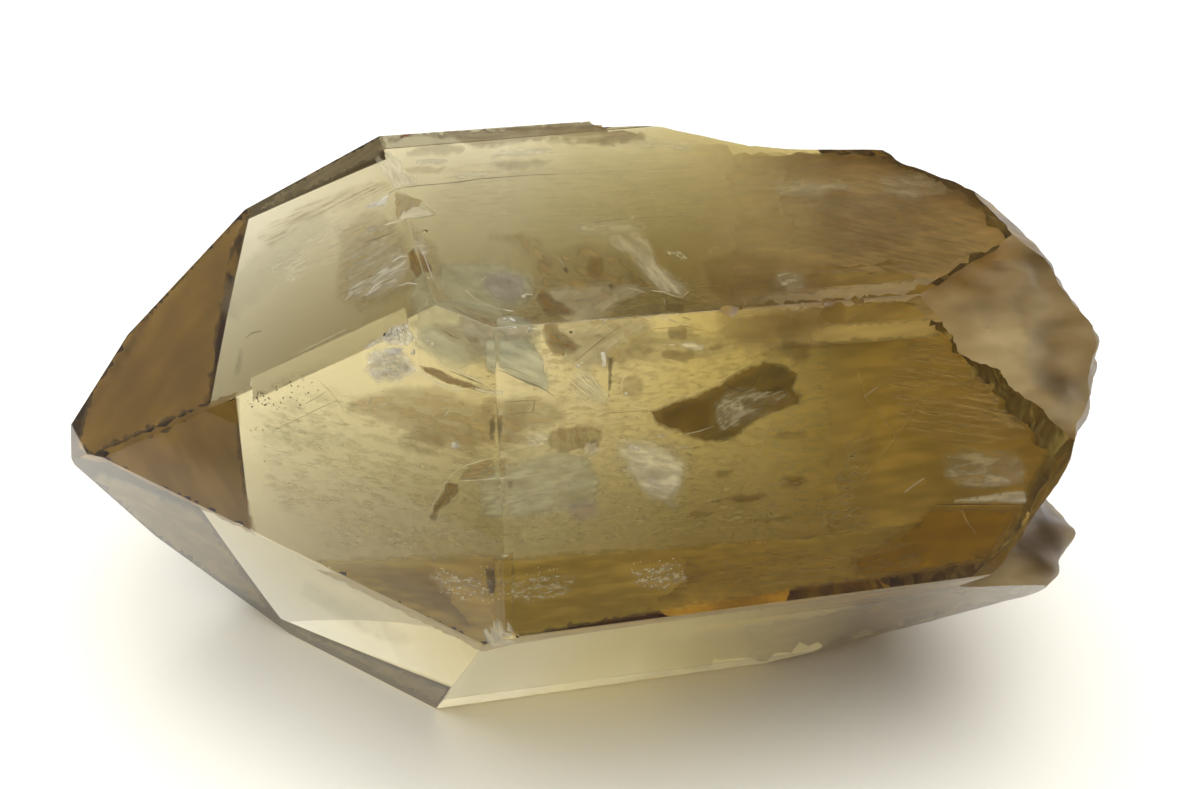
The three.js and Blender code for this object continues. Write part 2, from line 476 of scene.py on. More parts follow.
class Layer:
    """Gathers films of one kind into one mesh."""

    def __init__(self, name, material):
        self.name, self.material = name, material
        self.verts, self.faces, self.tint, self.amount, self.lace, self.grain = [], [], [], [], [], []

    def add(self, verts, faces, tint, amount, lace, grain):
        base = len(self.verts)
        self.verts += verts
        self.faces += [tuple(base + i for i in f) for f in faces]
        self.tint += tint if isinstance(tint, list) else [tint] * len(verts)
        self.amount += amount
        self.lace += [lace] * len(verts)
        self.grain += grain

    def build(self):
        me = bpy.data.meshes.new(self.name)
        me.from_pydata([v * MM for v in self.verts], [], self.faces)
        for key, kind in (("tint", "FLOAT_COLOR"), ("amount", "FLOAT"), ("lace", "FLOAT"), ("grain", "FLOAT_VECTOR")):
            me.attributes.new(key, kind, "POINT")
        a, b, c, g = (me.attributes[key] for key in ("tint", "amount", "lace", "grain"))
        for i in range(len(self.verts)):
            a.data[i].color = (*self.tint[i], 1)
            b.data[i].value = self.amount[i]
            c.data[i].value = self.lace[i]
            g.data[i].vector = self.grain[i]
        for p in me.polygons:
            p.use_smooth = True
        me.materials.append(self.material)
        ob = new_object(self.name, me)
        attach(ob, "root")
        return ob


def film_material(name, roughness, shine, contrast, detail):
    mat, nt, out = node_material(name)
    bsdf = nt.nodes.new("ShaderNodeBsdfPrincipled")
    bsdf.inputs["Roughness"].default_value = roughness
    bsdf.inputs["Specular IOR Level"].default_value = shine
    nt.links.new(bsdf.outputs[0], out.inputs["Surface"])

    def attribute(key):
        n = nt.nodes.new("ShaderNodeAttribute")
        n.attribute_name = key
        return n

    def math_node(op, x, y, clamp=False):
        m = nt.nodes.new("ShaderNodeMath")
        m.operation, m.use_clamp = op, clamp
        for sock, v in zip(m.inputs, (x, y)):
            if isinstance(v, float):
                sock.default_value = v
            else:
                nt.links.new(v, sock)
        return m.outputs[0]

    grain = attribute("grain").outputs["Vector"]
    coarse = nt.nodes.new("ShaderNodeTexNoise")
    coarse.inputs["Scale"].default_value = 1.0
    coarse.inputs["Detail"].default_value = detail
    coarse.inputs["Roughness"].default_value = 0.62
    nt.links.new(grain, coarse.inputs["Vector"])
    ramp = nt.nodes.new("ShaderNodeMapRange")
    ramp.interpolation_type = "SMOOTHSTEP"
    ramp.inputs["From Min"].default_value = 0.42
    ramp.inputs["From Max"].default_value = 0.66
    nt.links.new(coarse.outputs["Fac"], ramp.inputs["Value"])
    lace = attribute("lace").outputs["Fac"]
    holes = math_node("MULTIPLY", lace, math_node("SUBTRACT", 1.0, ramp.outputs[0]))
    keep = math_node("SUBTRACT", 1.0, holes, True)
    alpha = math_node("MULTIPLY", attribute("amount").outputs["Fac"], keep, True)
    nt.links.new(alpha, bsdf.inputs["Alpha"])
    shade = nt.nodes.new("ShaderNodeMapRange")
    shade.inputs["From Min"].default_value = 0.3
    shade.inputs["From Max"].default_value = 0.7
    shade.inputs["To Min"].default_value = 1.0 - contrast
    shade.inputs["To Max"].default_value = 1.0 + 0.7 * contrast
    nt.links.new(coarse.outputs["Fac"], shade.inputs["Value"])
    mul = nt.nodes.new("ShaderNodeVectorMath"); mul.operation = "SCALE"
    nt.links.new(attribute("tint").outputs["Color"], mul.inputs[0])
    nt.links.new(shade.outputs[0], mul.inputs["Scale"])
    nt.links.new(mul.outputs[0], bsdf.inputs["Base Color"])
    return mat


# the veil layer holds veils and also sheets of painted shade
veils_and_painted_shade = Layer("inner_veils_and_painted_shade", film_material("veil_and_painted_shade", 0.6, 0.0, 0.30, 2.2))
# the haze layer holds body haze and also sheets of painted shade
haze_and_painted_shade = Layer("inner_haze_and_painted_shade", film_material("haze_and_painted_shade", 0.7, 0.0, 0.12, 1.0))
# the fracture layer also holds pale patches of painted reflection
fractures_and_painted_reflection = Layer("inner_fractures_and_painted_reflection", film_material("fracture_mirror_and_painted_reflection", 0.35, 0.5, 0.18, 2.0))
lines = Layer("fracture_lines", film_material("fracture_line", 0.5, 0.0, 0.2, 0.0))
# the speck layer also holds specks of painted reflection
specks_and_painted_reflection = Layer("sealed_specks_and_painted_reflection", film_material("speck", 0.5, 0.0, 0.1, 0.0))

MILK, CREAM, SILVER, SAGE = (0.86, 0.78, 0.56), (1.0, 0.93, 0.70), (1.0, 0.98, 0.90), (0.70, 0.70, 0.50)
HAZE, OLIVE, TAN, BROWN = (0.66, 0.56, 0.34), (0.42, 0.37, 0.19), (0.50, 0.36, 0.15), (0.27, 0.15, 0.035)
AMBER = (0.62, 0.42, 0.15)
GOLD, UMBER, RUST, INK = (0.33, 0.19, 0.02), (0.075, 0.042, 0.01), (0.24, 0.045, 0.004), (0.006, 0.004, 0.002)
LILAC = (0.72, 0.65, 0.66)


def edge_distance(x, y, loop):
    best = 1e9
    for i in range(len(loop)):
        x0, y0 = loop[i]; x1, y1 = loop[(i + 1) % len(loop)]
        dx, dy = x1 - x0, y1 - y0
        k = max(0.0, min(1.0, ((x - x0) * dx + (y - y0) * dy) / max(1e-9, dx * dx + dy * dy)))
        best = min(best, math.hypot(x - x0 - k * dx, y - y0 - k * dy))
    return best


def within(x, y, loop):
    odd = False
    for i in range(len(loop)):
        x0, y0 = loop[i]; x1, y1 = loop[(i + 1) % len(loop)]
        if (y0 > y) != (y1 > y) and x < x0 + (y - y0) / (y1 - y0) * (x1 - x0):
            odd = not odd
    return odd


def film(layer, face, loop, depth, tint, amount, feather=6.0, lace=0.0, angle=0.0, grain=(20.0, 8.0),
         tilt=(0.0, 0.0), ripple=0.15, step=None, wobble=1.0, seed=0.0, rise=None):
    """A crack, a veil or a sheet of painted shade or reflection: loop is its outline in the frame, depth how far in
    (mm), grain its streaks' length and width.
    """
    xs, ys = [p[0] for p in loop], [p[1] for p in loop]
    size = max(max(xs) - min(xs), max(ys) - min(ys))
    step = step or max(1.6, size / 22.0)
    ring = []
    for i in range(len(loop)):
        (x0, y0), (x1, y1) = loop[i], loop[(i + 1) % len(loop)]
        m = max(1, int(math.hypot(x1 - x0, y1 - y0) / step))
        for k in range(m):
            x, y = x0 + (x1 - x0) * k / m, y0 + (y1 - y0) * k / m
            w = wobble * min(1.0, size / 60.0)
            ring.append((x + 3.0 * w * noise.noise(Vector((x * 0.11, y * 0.11, seed + 2.2))),
                         y + 3.0 * w * noise.noise(Vector((x * 0.11, y * 0.11, seed + 7.9)))))
    rnd = random.Random(int(seed * 100) + int(size) + len(loop))
    pts = [Vector(p) for p in ring]
    y = min(ys)
    while y < max(ys):
        x = min(xs)
        while x < max(xs):
            q = (x + rnd.uniform(-0.3, 0.3) * step, y + rnd.uniform(-0.3, 0.3) * step)
            if within(*q, ring) and edge_distance(*q, ring) > 0.4 * step:
                pts.append(Vector(q))
            x += step
        y += step
    n = len(ring)
    co, _, tris = delaunay_2d_cdt(pts, [(i, (i + 1) % n) for i in range(n)], [], 1, 1e-4)[:3]
    cx, cy = sum(xs) / len(xs), sum(ys) / len(ys)
    p0, t0 = sight(cx, cy, face)
    normal = -t0
    if layer is fractures_and_painted_reflection or sum(tint) > 2.15:
        tilt = (-48, tilt[1])  # bright cracks lie open to the light from above
    normal = Matrix.Rotation(math.radians(tilt[0]), 3, cam_right) @ (Matrix.Rotation(math.radians(tilt[1]), 3, cam_up) @ normal)
    at = p0 + t0 * min(depth, room(p0, t0))
    c, s = math.cos(math.radians(angle)), math.sin(math.radians(angle))
    verts, amounts, grains, good = [], [], [], []
    for v in co:
        p, t = sight(v.x, v.y, face)
        good.append(on_body(p))
        k = depth if layer is haze_and_painted_shade else (at - p).dot(normal) / t.dot(normal)
        g = Vector(((v.x * c + v.y * s) / grain[0], (-v.x * s + v.y * c) / grain[1], seed * 3.7))
        k += ripple * (noise.noise(g * 1.3) + 0.4 * noise.noise(g * 3.1))
        k = min(max(0.5, k), max(0.5, room(p, t) - (0.4 * (int(seed * 10) % 3) if layer is haze_and_painted_shade else 0.0)))
        verts.append(p + t * k)
        e = edge_distance(v.x, v.y, ring) / max(0.01, feather)
        e = min(1.0, e)
        e = e * e * (3 - 2 * e) if feather > 0.1 else 1.0
        if rise:  # thickens from left to right
            e *= smooth01(min(1.0, max(0.0, (v.x + 14 * noise.noise(Vector((v.x * 0.012, v.y * 0.03, seed))) - rise[0]) / (rise[1] - rise[0]))))
        amounts.append(amount * e)
        grains.append(g)
    layer.add(verts, [tuple(f) for f in tris if all(good[i] for i in f)], tint, amounts, lace, grains)


def line(face, path, width, depth, tint, amount=1.0, soft=True, layer=None, lace=0.0, grain=(14.0, 4.0)):
    """A crack's edge seen as a thin line; width in frame units, tapering to its ends."""
    pts = [Vector(p) for p in path]
    fine = []
    for a, b in zip(pts, pts[1:]):
        m = max(1, int((b - a).length / 4.0))
        fine += [a.lerp(b, k / m) for k in range(m)]
    fine.append(pts[-1])
    verts, faces, amounts, grains, good = [], [], [], [], []
    m = len(fine)
    for i, q in enumerate(fine):
        d = (fine[min(m - 1, i + 1)] - fine[max(0, i - 1)]).normalized()
        side = Vector((-d.y, d.x))
        u = i / (m - 1)
        w = width * (0.35 + 0.65 * math.sin(math.pi * min(1.0, max(0.0, 0.08 + 0.84 * u)))) * (0.8 + 0.4 * noise.noise(Vector((i * 0.6, q.x * 0.1, 3.3))))
        for k, off in enumerate((-0.5, -0.22, 0.22, 0.5)):
            r = q + side * (w * off)
            p, t = sight(r.x, r.y, face)
            verts.append(p + t * min(depth, room(p, t)))
            good.append(on_body(p))
            amounts.append(amount * (0.0 if soft and k in (0, 3) else 1.0))
            grains.append(Vector((i * 4.0 / grain[0], off * 3.0, path[0][0] * 0.1)))
        if i:
            b = 4 * (i - 1)
            faces += [(b + k, b + k + 1, b + k + 5, b + k + 4) for k in range(3)]
    faces = [f for f in faces if all(good[i] for i in f)]
    (layer or lines).add(verts, faces, tint, amounts, lace, grains)


def speck(face, px, py, size, depth, tint, seed=0, stretch=(1.0, 1.0, 1.0)):
    """A tiny grain or bubble; size in mm."""
    p, t = sight(px, py, face)
    at = p + t * min(depth, room(p, t))
    r = random.Random(int(px * 31 + py * 17) + seed)
    bm = bmesh.new()
    spin = Matrix.Rotation(r.uniform(0, 6.28), 4, Vector((r.uniform(-1, 1), r.uniform(-1, 1), r.uniform(-1, 1))).normalized())
    bmesh.ops.create_icosphere(bm, subdivisions=1, radius=size / 2,
                               matrix=Matrix.Translation(at) @ spin @ Matrix.Diagonal((*stretch, 1)))
    for v in bm.verts:
        v.co += Vector([r.uniform(-1, 1) for i in range(3)]) * size * 0.08
    bm.verts.index_update()
    specks_and_painted_reflection.add([v.co.copy() for v in bm.verts], [tuple(v.index for v in f.verts) for f in bm.faces], tint,
               [1.0] * len(bm.verts), 0.0, [Vector((v.co.x, v.co.y, v.co.z)) for v in bm.verts])
    bm.free()


def scatter(face, loop, count, size, depth, tint, seed=1, spread=1.0):
    r = random.Random(seed)
    xs, ys = [p[0] for p in loop], [p[1] for p in loop]
    made = 0
    while made < count:
        x, y = r.uniform(min(xs), max(xs)), r.uniform(min(ys), max(ys))
        if within(x, y, loop):
            speck(face, x, y, r.uniform(*size), depth + r.uniform(-spread, spread), tint, seed,
                  (r.uniform(0.7, 1.8), r.uniform(0.6, 1.0), r.uniform(0.5, 1.0)))
            made += 1


# --- seen through the top face M1
film(veils_and_painted_shade, "M1", [(381, 138), (400, 133), (430, 128), (470, 124), (520, 121), (560, 119), (606, 121), (640, 128), (650, 140), (600, 147), (560, 141), (520, 143), (498, 149), (480, 150), (455, 141), (430, 139), (414, 138), (400, 142), (382, 143)], 1.2, BROWN, 0.62, 3.0, 0.35, -3, (60, 5), seed=1.0, step=4)
film(veils_and_painted_shade, "M1", [(470, 128), (520, 125), (562, 123), (600, 124), (598, 131), (560, 132), (520, 133), (490, 134)], 0.9, UMBER, 0.55, 3.5, 0.5, -2, (70, 3), seed=2.0, step=3)
film(veils_and_painted_shade, "M1", [(500, 140), (530, 137), (570, 138), (600, 142), (570, 147), (530, 143)], 0.9, UMBER, 0.4, 3.5, 0.5, 2, (70, 3), seed=2.5, step=3)
film(veils_and_painted_shade, "M1", [(381, 152), (390, 150), (402, 163), (404, 172), (418, 178), (420, 185), (396, 188), (390, 172)], 2.0, CREAM, 0.55, 3.0, 0.25, 60, (30, 8), seed=3.0)
film(veils_and_painted_shade, "M1", [(398, 163), (420, 160), (445, 158), (453, 162), (440, 165), (418, 164)], 1.6, CREAM, 0.8, 2.0, 0.1, -3, (60, 6), seed=3.4)
film(veils_and_painted_shade, "M1", [(448, 177), (470, 172), (487, 170), (488, 175), (465, 179)], 1.6, CREAM, 0.6, 2.0, 0.3, -5, (40, 5), seed=3.6)
film(veils_and_painted_shade, "M1", [(486, 156), (500, 150), (522, 147), (548, 147), (556, 152), (530, 156), (500, 158)], 1.6, CREAM, 0.75, 2.5, 0.4, -4, (40, 5), seed=3.8)
film(veils_and_painted_shade, "M1", [(402, 151), (438, 141), (460, 145), (472, 151), (440, 157), (406, 158)], 1.8, OLIVE, 0.45, 3.0, 0.2, -8, (60, 6), seed=4.0)
film(veils_and_painted_shade, "M1", [(490, 161), (530, 157), (556, 159), (545, 168), (510, 171), (488, 167)], 1.8, OLIVE, 0.42, 3.5, 0.2, -4, (60, 6), seed=4.3)
film(veils_and_painted_shade, "M1", [(400, 168), (430, 165), (450, 168), (440, 174), (410, 176)], 1.8, TAN, 0.4, 3.0, 0.2, -4, (60, 6), seed=4.5)
line("M1", [(396, 188.5), (420, 185.5), (450, 183), (480, 179), (503, 177.2), (530, 175), (556, 174)], 1.6, 2.2, UMBER, 0.75)
line("M1", [(556, 174), (600, 172), (640, 170)], 1.2, 2.2, BROWN, 0.35)
line("M1", [(462, 147), (478, 150), (488, 156)], 1.5, 1.5, CREAM, 0.9)
film(veils_and_painted_shade, "M1", [(440, 150), (640, 135), (780, 150), (900, 165), (960, 190), (900, 260), (760, 280), (640, 235), (540, 245), (430, 235), (420, 195)], 5.0, HAZE, 0.34, 30.0, 0.55, -3, (26, 2.6), seed=5.0, ripple=0.3, step=12)
film(veils_and_painted_shade, "M1", [(397, 190), (414, 197), (425, 201), (412, 213), (396, 218), (383, 217)], 1.6, TAN, 0.75, 1.5, 0.3, -50, (22, 3), seed=6.0)
film(veils_and_painted_shade, "M1", [(415.5, 203), (437, 214.5), (420, 218), (395, 219), (405, 212)], 1.3, CREAM, 0.55, 1.2, 0.1, 0, (30, 8), seed=6.4, wobble=0.2)
line("M1", [(402, 218), (414, 199), (437, 214.5), (420, 218), (395, 219)], 0.9, 1.2, UMBER, 0.5)
line("M1", [(380, 218), (388, 204), (395, 189)], 2.6, 1.0, SILVER, 1.0)
# round greenish patch with its bright rim
film(veils_and_painted_shade, "M1", [(436, 262), (470, 258), (505, 260), (530, 272), (541, 295), (522, 312), (480, 320), (450, 308), (432, 285)], 7.0, SAGE, 0.62, 9.0, 0.12, 10, (30, 14), seed=7.0, tilt=(12, -8))
film(veils_and_painted_shade, "M1", [(482, 272), (505, 266), (528, 276), (530, 296), (512, 307), (492, 302), (478, 290)], 6.5, LILAC, 0.42, 7.0, 0.1, 30, (18, 9), seed=7.5, tilt=(12, -8))
line("M1", [(466, 290), (474, 298), (484, 304), (500, 309), (514, 311)], 1.8, 6.2, CREAM, 0.85)
line("M1", [(504, 309.5), (513, 311.5)], 1.6, 6.1, SILVER, 1.0)
line("M1", [(480, 281), (486, 277), (492, 276)], 1.4, 6.1, CREAM, 0.9)
line("M1", [(521, 297), (526, 294), (533, 295)], 1.6, 6.0, SILVER, 1.0)
for x, y, w in ((523.4, 296.4, 0.42), (518, 272, 0.2), (436, 305, 0.26), (439, 309, 0.22), (444, 312, 0.24), (441, 304, 0.2), (419.5, 321.5, 0.36), (421, 319, 0.18)):
    speck("M1", x, y, w, 5.8, SILVER)
# painted shade: brown band below the round patch, its shadow
film(veils_and_painted_shade, "M1", [(470, 315), (500, 318), (530, 316), (545, 310), (540, 322), (500, 325), (475, 323)], 3.0, BROWN, 0.5, 3.5, 0.3, 2, (24, 5), seed=8.5)
# brown swirl
film(veils_and_painted_shade, "M1", [(528, 262), (548, 248), (585, 240), (622, 246), (640, 262), (655, 285), (640, 305), (600, 314), (565, 318), (540, 300), (532, 280)], 9.0, TAN, 0.66, 12.0, 0.45, 35, (30, 10), seed=9.0, tilt=(-10, 14), ripple=0.5)
# painted shade: deeper brown end of the band below the round patch
film(veils_and_painted_shade, "M1", [(540, 288), (556, 298), (580, 310), (574, 316), (548, 318), (534, 302)], 6.0, BROWN, 0.75, 3.0, 0.25, 30, (18, 5), seed=9.5)
film(veils_and_painted_shade, "M1", [(520, 230), (545, 238), (556, 262), (548, 280), (530, 262), (505, 245), (480, 240), (490, 232)], 7.0, TAN, 0.5, 7.0, 0.4, 50, (22, 7), seed=9.8)
film(veils_and_painted_shade, "M1", [(588, 258), (602, 255), (606, 268), (600, 282), (588, 278), (584, 267)], 6.0, BROWN, 0.6, 3.0, 0.35, 70, (9, 5), seed=10.0)
film(veils_and_painted_shade, "M1", [(561, 268), (567, 266), (570, 271), (567, 274)], 5.0, UMBER, 0.8, 1.4, 0.2, 40, (9, 5), seed=10.2)
film(veils_and_painted_shade, "M1", [(608, 284), (613, 282), (613, 288), (611, 291)], 5.0, UMBER, 0.8, 1.2, 0.2, 40, (9, 5), seed=10.4)
line("M1", [(611, 290), (618, 281), (624, 274)], 1.4, 5.0, BROWN, 0.8)
line("M1", [(619, 263), (628, 268), (634, 277), (642, 283), (654, 287)], 2.0, 5.0, BROWN, 0.85)
line("M1", [(556, 254), (562, 262), (568, 272)], 1.2, 5.0, CREAM, 0.5)
film(veils_and_painted_shade, "M1", [(604, 234), (640, 228), (652, 240), (660, 262), (690, 288), (684, 298), (660, 294), (640, 276), (628, 256), (606, 250)], 5.5, MILK, 0.62, 6.0, 0.35, 48, (26, 6), seed=11.0, tilt=(8, -10), ripple=0.3)
film(veils_and_painted_shade, "M1", [(560, 222), (600, 214), (650, 218), (650, 236), (600, 240), (570, 236)], 6.0, MILK, 0.35, 9.0, 0.4, -6, (26, 7), seed=11.3)
line("M1", [(651, 290.4), (664, 292), (672, 295.4), (681, 297.6), (689, 291.6)], 2.0, 4.8, CREAM, 1.0)
line("M1", [(626, 287.5), (636, 289.5), (646, 293)], 1.6, 4.8, MILK, 0.9)
film(fractures_and_painted_reflection, "M1", [(662, 248), (676, 248), (690, 254), (688, 261), (676, 259), (666, 255)], 5.0, CREAM, 0.55, 3.0, 0.85, 30, (4, 2), seed=11.6)
scatter("M1", [(705, 247), (720, 246), (720, 253), (708, 254)], 7, (0.08, 0.16), 4.0, CREAM, 3)
film(veils_and_painted_shade, "M1", [(700, 262), (730, 248), (780, 250), (840, 262), (838, 292), (780, 300), (745, 308), (720, 303), (705, 285)], 6.0, BROWN, 0.42, 8.0, 0.25, -4, (50, 12), seed=12.0)
line("M1", [(716, 300), (728, 306), (745, 308), (757, 304)], 1.8, 1.4, TAN, 0.8)
line("M1", [(590, 223), (612, 220), (633, 218)], 1.0, 3.0, UMBER, 0.6)
line("M1", [(633, 218), (660, 217), (682, 216)], 1.0, 3.0, BROWN, 0.55)
speck("M1", 632.5, 217.5, 0.3, 3.0, CREAM)
# pale clouds and a milky zone before the break
film(veils_and_painted_shade, "M1", [(596, 128), (612, 124), (640, 134), (700, 140), (690, 152), (640, 150), (600, 148)], 2.5, MILK, 0.5, 5.0, 0.6, 2, (24, 4), seed=13.0)
film(veils_and_painted_shade, "M1", [(772, 184), (800, 178), (850, 180), (852, 192), (810, 198), (775, 196)], 5.0, MILK, 0.7, 6.0, 0.5, -3, (26, 6), seed=13.3)
film(veils_and_painted_shade, "M1", [(876, 176), (905, 168), (945, 175), (952, 192), (915, 202), (880, 198)], 4.0, MILK, 0.7, 7.0, 0.5, 5, (20, 6), seed=13.6)
film(veils_and_painted_shade, "M1", [(774, 272), (790, 269), (808, 274), (806, 290), (788, 294), (776, 286)], 4.0, MILK, 0.5, 5.0, 0.6, -20, (12, 5), seed=13.9)
film(veils_and_painted_shade, "M1", [(399, 137), (403, 133), (412, 131), (415, 133.5), (408, 137), (401, 139)], 0.6, RUST, 0.95, 1.2, 0.15, -10, (8, 4), seed=14.5, step=1.5)



film(haze_and_painted_shade, "M1", [(600, 118), (680, 134), (800, 142), (905, 154), (990, 188), (1022, 236), (1004, 268), (930, 296), (840, 304), (740, 310), (600, 318)], 9.5, (0.86, 0.67, 0.37), 0.86, 3.0, 0.06, -4, (60, 9), seed=14.0, ripple=0.3, step=9, rise=(650, 835), wobble=0.2)
film(haze_and_painted_shade, "M1", [(600, 118), (680, 134), (800, 142), (905, 154), (990, 188), (1022, 236), (1004, 268), (930, 296), (840, 304), (740, 310), (600, 318)], 7.6, (0.82, 0.61, 0.31), 0.84, 3.0, 0.08, -6, (50, 6), seed=14.2, ripple=0.3, step=9, rise=(720, 860), wobble=0.2)
film(veils_and_painted_shade, "M1", [(820, 165), (905, 162), (985, 200), (1000, 250), (940, 284), (840, 290), (800, 240)], 1.2, (0.30, 0.17, 0.04), 0.6, 20.0, 0.8, 12, (50, 5), seed=14.3, step=8)

# --- seen through the steep upper-left face R1
film(veils_and_painted_shade, "R1", [(250, 236), (300, 205), (350, 184), (392, 178), (392, 190), (360, 204), (310, 222), (270, 250)], 3.0, TAN, 0.5, 6.0, 0.75, -24, (26, 2.4), seed=19.8, step=5)
film(veils_and_painted_shade, "R1", [(262, 262), (330, 214), (372, 214), (372, 250), (320, 268), (280, 290)], 2.6, CREAM, 0.4, 8.0, 0.8, -26, (26, 2.2), seed=19.9, step=5)
film(veils_and_painted_shade, "R1", [(336, 232), (368, 206), (384, 212), (398, 224), (413, 250), (418, 288), (400, 301), (360, 314), (334, 300)], 4.0, TAN, 0.5, 8.0, 0.45, -28, (34, 5), seed=20.0, tilt=(10, 10), ripple=0.4)
film(fractures_and_painted_reflection, "R1", [(344, 250), (372, 236), (400, 240), (410, 262), (404, 288), (376, 300), (346, 300)], 5.0, SILVER, 0.6, 6.0, 0.75, -28, (26, 4), seed=20.5, tilt=(20, -12), ripple=0.6)
film(veils_and_painted_shade, "R1", [(362, 207), (380, 198), (392, 191), (386, 205), (372, 209)], 2.0, SILVER, 0.85, 2.0, 0.2, -30, (20, 5), seed=20.8)
line("R1", [(368, 229), (384, 225), (404, 219.5)], 2.2, 1.6, CREAM, 1.0)
line("R1", [(364, 243), (378, 238), (391, 233)], 1.4, 1.6, UMBER, 0.8)
film(fractures_and_painted_reflection, "R1", [(366, 228), (376, 224), (380, 230), (368, 233)], 2.2, SILVER, 0.9, 1.5, 0.3, -20, (9, 4), seed=21.0)
film(veils_and_painted_shade, "R1", [(408, 252), (413, 247), (419, 258), (422, 274), (416, 280), (410, 268)], 1.6, BROWN, 0.85, 1.6, 0.2, 70, (14, 5), seed=21.5)
line("R1", [(411, 246), (417, 250), (422, 264), (428, 280)], 1.6, 1.2, SILVER, 0.9)
for (x0, y0), (x1, y1) in (((345, 300), (362, 288)), ((366, 296), (384, 280)), ((350, 268), (372, 258)), ((372, 284), (392, 270)), ((392, 262), (408, 256)), ((388, 276), (408, 268)), ((398, 286), (418, 284))):
    line("R1", [(x0, y0), ((x0 + x1) / 2, (y0 + y1) / 2 - 2), (x1, y1)], 2.6, 3.0, SILVER, 0.8, lace=0.4)
for cx, cy, rx, ry in ((404.8, 292, 9, 6), (425.5, 297, 8, 6)):
    ring = [(cx + rx * math.cos(a * 0.5236), cy + ry * math.sin(a * 0.5236)) for a in range(13)]
    line("M1", ring, 1.7, 1.8, MILK, 0.9)
    film(veils_and_painted_shade, "M1", ring[:-1], 2.0, OLIVE, 0.55, 2.5, 0.2, 20, (12, 6), seed=cx)
film(veils_and_painted_shade, "R1", [(212, 300), (240, 262), (285, 226), (322, 206), (332, 222), (300, 262), (262, 300), (230, 330)], 4.0, SAGE, 0.30, 10.0, 0.3, -40, (40, 12), seed=22.0)
line("R1", [(300, 352), (328, 338), (345, 330)], 1.4, 0.9, MILK, 0.9)
line("R1", [(246, 338), (252, 333), (262, 331)], 2.2, 1.6, UMBER, 0.65, lace=0.5)
film(veils_and_painted_shade, "R1", [(233, 372), (238, 350), (244, 345), (243, 362), (238, 378)], 2.0, OLIVE, 0.45, 2.0, 0.5, 80, (12, 5), seed=22.5)

# painted shade: dark brown sheet under the tip, standing in for the darker light seen through it
film(haze_and_painted_shade, "R1", [(78, 442), (80, 420), (104, 354), (162, 284), (240, 204), (258, 204), (246, 222), (236, 242), (224, 300), (210, 404), (150, 430), (92, 456)], 1.6, (0.37, 0.22, 0.045), 0.85, 1.5, 0.10, -52, (60, 22), seed=19.0, ripple=0.1, step=5, wobble=0.1)
film(haze_and_painted_shade, "R1", [(246, 216), (312, 168), (386, 132), (388, 142), (380, 157), (318, 186), (262, 212)], 0.8, (0.36, 0.28, 0.14), 0.80, 1.5, 0.15, -35, (40, 8), seed=19.6, ripple=0.05, step=4, wobble=0.1)
# --- seen through the large front-left face R2
# painted shade: dark brown sheet under the tip, standing in for the darker light seen through it
film(haze_and_painted_shade, "R2", [(86, 450), (150, 424), (214, 400), (240, 392), (241, 440), (247, 490), (258, 536), (200, 512), (130, 478)], 1.6, (0.38, 0.225, 0.045), 0.85, 1.5, 0.10, 60, (50, 18), seed=29.0, ripple=0.1, step=5, wobble=0.1)
film(fractures_and_painted_reflection, "R2", [(382, 340), (392, 330), (412, 330), (415, 338), (408, 346), (388, 346)], 2.0, SILVER, 0.8, 2.0, 0.55, 60, (6, 3), seed=30.0, ripple=0.5, step=2)
for k in range(9):
    x = 386 + 3.4 * k
    line("R2", [(x, 345 - (k % 3)), (x + 3.5, 338), (x + 2.0, 331 + (k % 2) * 2)], 1.1, 1.8, UMBER if k % 2 else SILVER, 0.8)
speck("R2", 385.5, 338.5, 0.32, 1.7, INK)
film(fractures_and_painted_reflection, "R2", [(366, 352), (385, 344), (404, 347), (414, 360), (421, 375), (402, 383), (376, 386), (363, 370)], 3.4, SILVER, 0.8, 6.0, 0.35, 8, (16, 5), seed=30.5, tilt=(18, 10), ripple=0.7, step=2.4)
film(veils_and_painted_shade, "R2", [(372, 356), (388, 348), (404, 350), (410, 366), (398, 378), (378, 380)], 3.2, CREAM, 0.5, 4.0, 0.5, 10, (12, 4), seed=30.8)
film(veils_and_painted_shade, "R2", [(383, 351), (393, 346), (404, 348.5), (402, 354), (390, 356.5)], 2.6, SILVER, 0.95, 2.5, 0.1, 0, (12, 5), seed=31.0)
film(veils_and_painted_shade, "R2", [(414, 361), (422, 365.5), (433, 367), (452, 375), (478, 386), (493, 394), (478, 391), (462, 388.5), (445, 383), (426, 374)], 3.0, BROWN, 0.9, 1.2, 0.25, 22, (24, 4), seed=31.5, wobble=0.3, step=2)
line("R2", [(420, 370), (428, 377), (440, 384), (452, 388), (462, 389.6), (454, 391.6)], 1.7, 2.6, SILVER, 1.0)
line("R2", [(440, 363.5), (455, 370), (470, 377), (485, 384), (495, 390)], 2.0, 2.5, CREAM, 0.95)
line("R2", [(450, 371), (466, 377.5), (482, 384)], 1.5, 2.4, UMBER, 0.85)
film(veils_and_painted_shade, "R2", [(466, 384), (480, 388), (495, 391), (495, 397), (478, 392)], 2.2, CREAM, 0.7, 1.5, 0.1, 20, (20, 5), seed=32.0)
film(veils_and_painted_shade, "R2", [(408, 330), (440, 322), (490, 325), (495, 360), (470, 368), (430, 358), (412, 350)], 5.0, SAGE, 0.5, 7.0, 0.15, 30, (36, 10), seed=32.5)
film(veils_and_painted_shade, "R2", [(425, 318), (462, 325), (486, 345), (494, 372), (476, 366), (455, 345), (430, 332)], 4.2, TAN, 0.5, 5.0, 0.5, 42, (22, 4), seed=33.0)
line("R2", [(442, 330), (452, 336), (460, 339)], 1.8, 3.6, UMBER, 0.8)
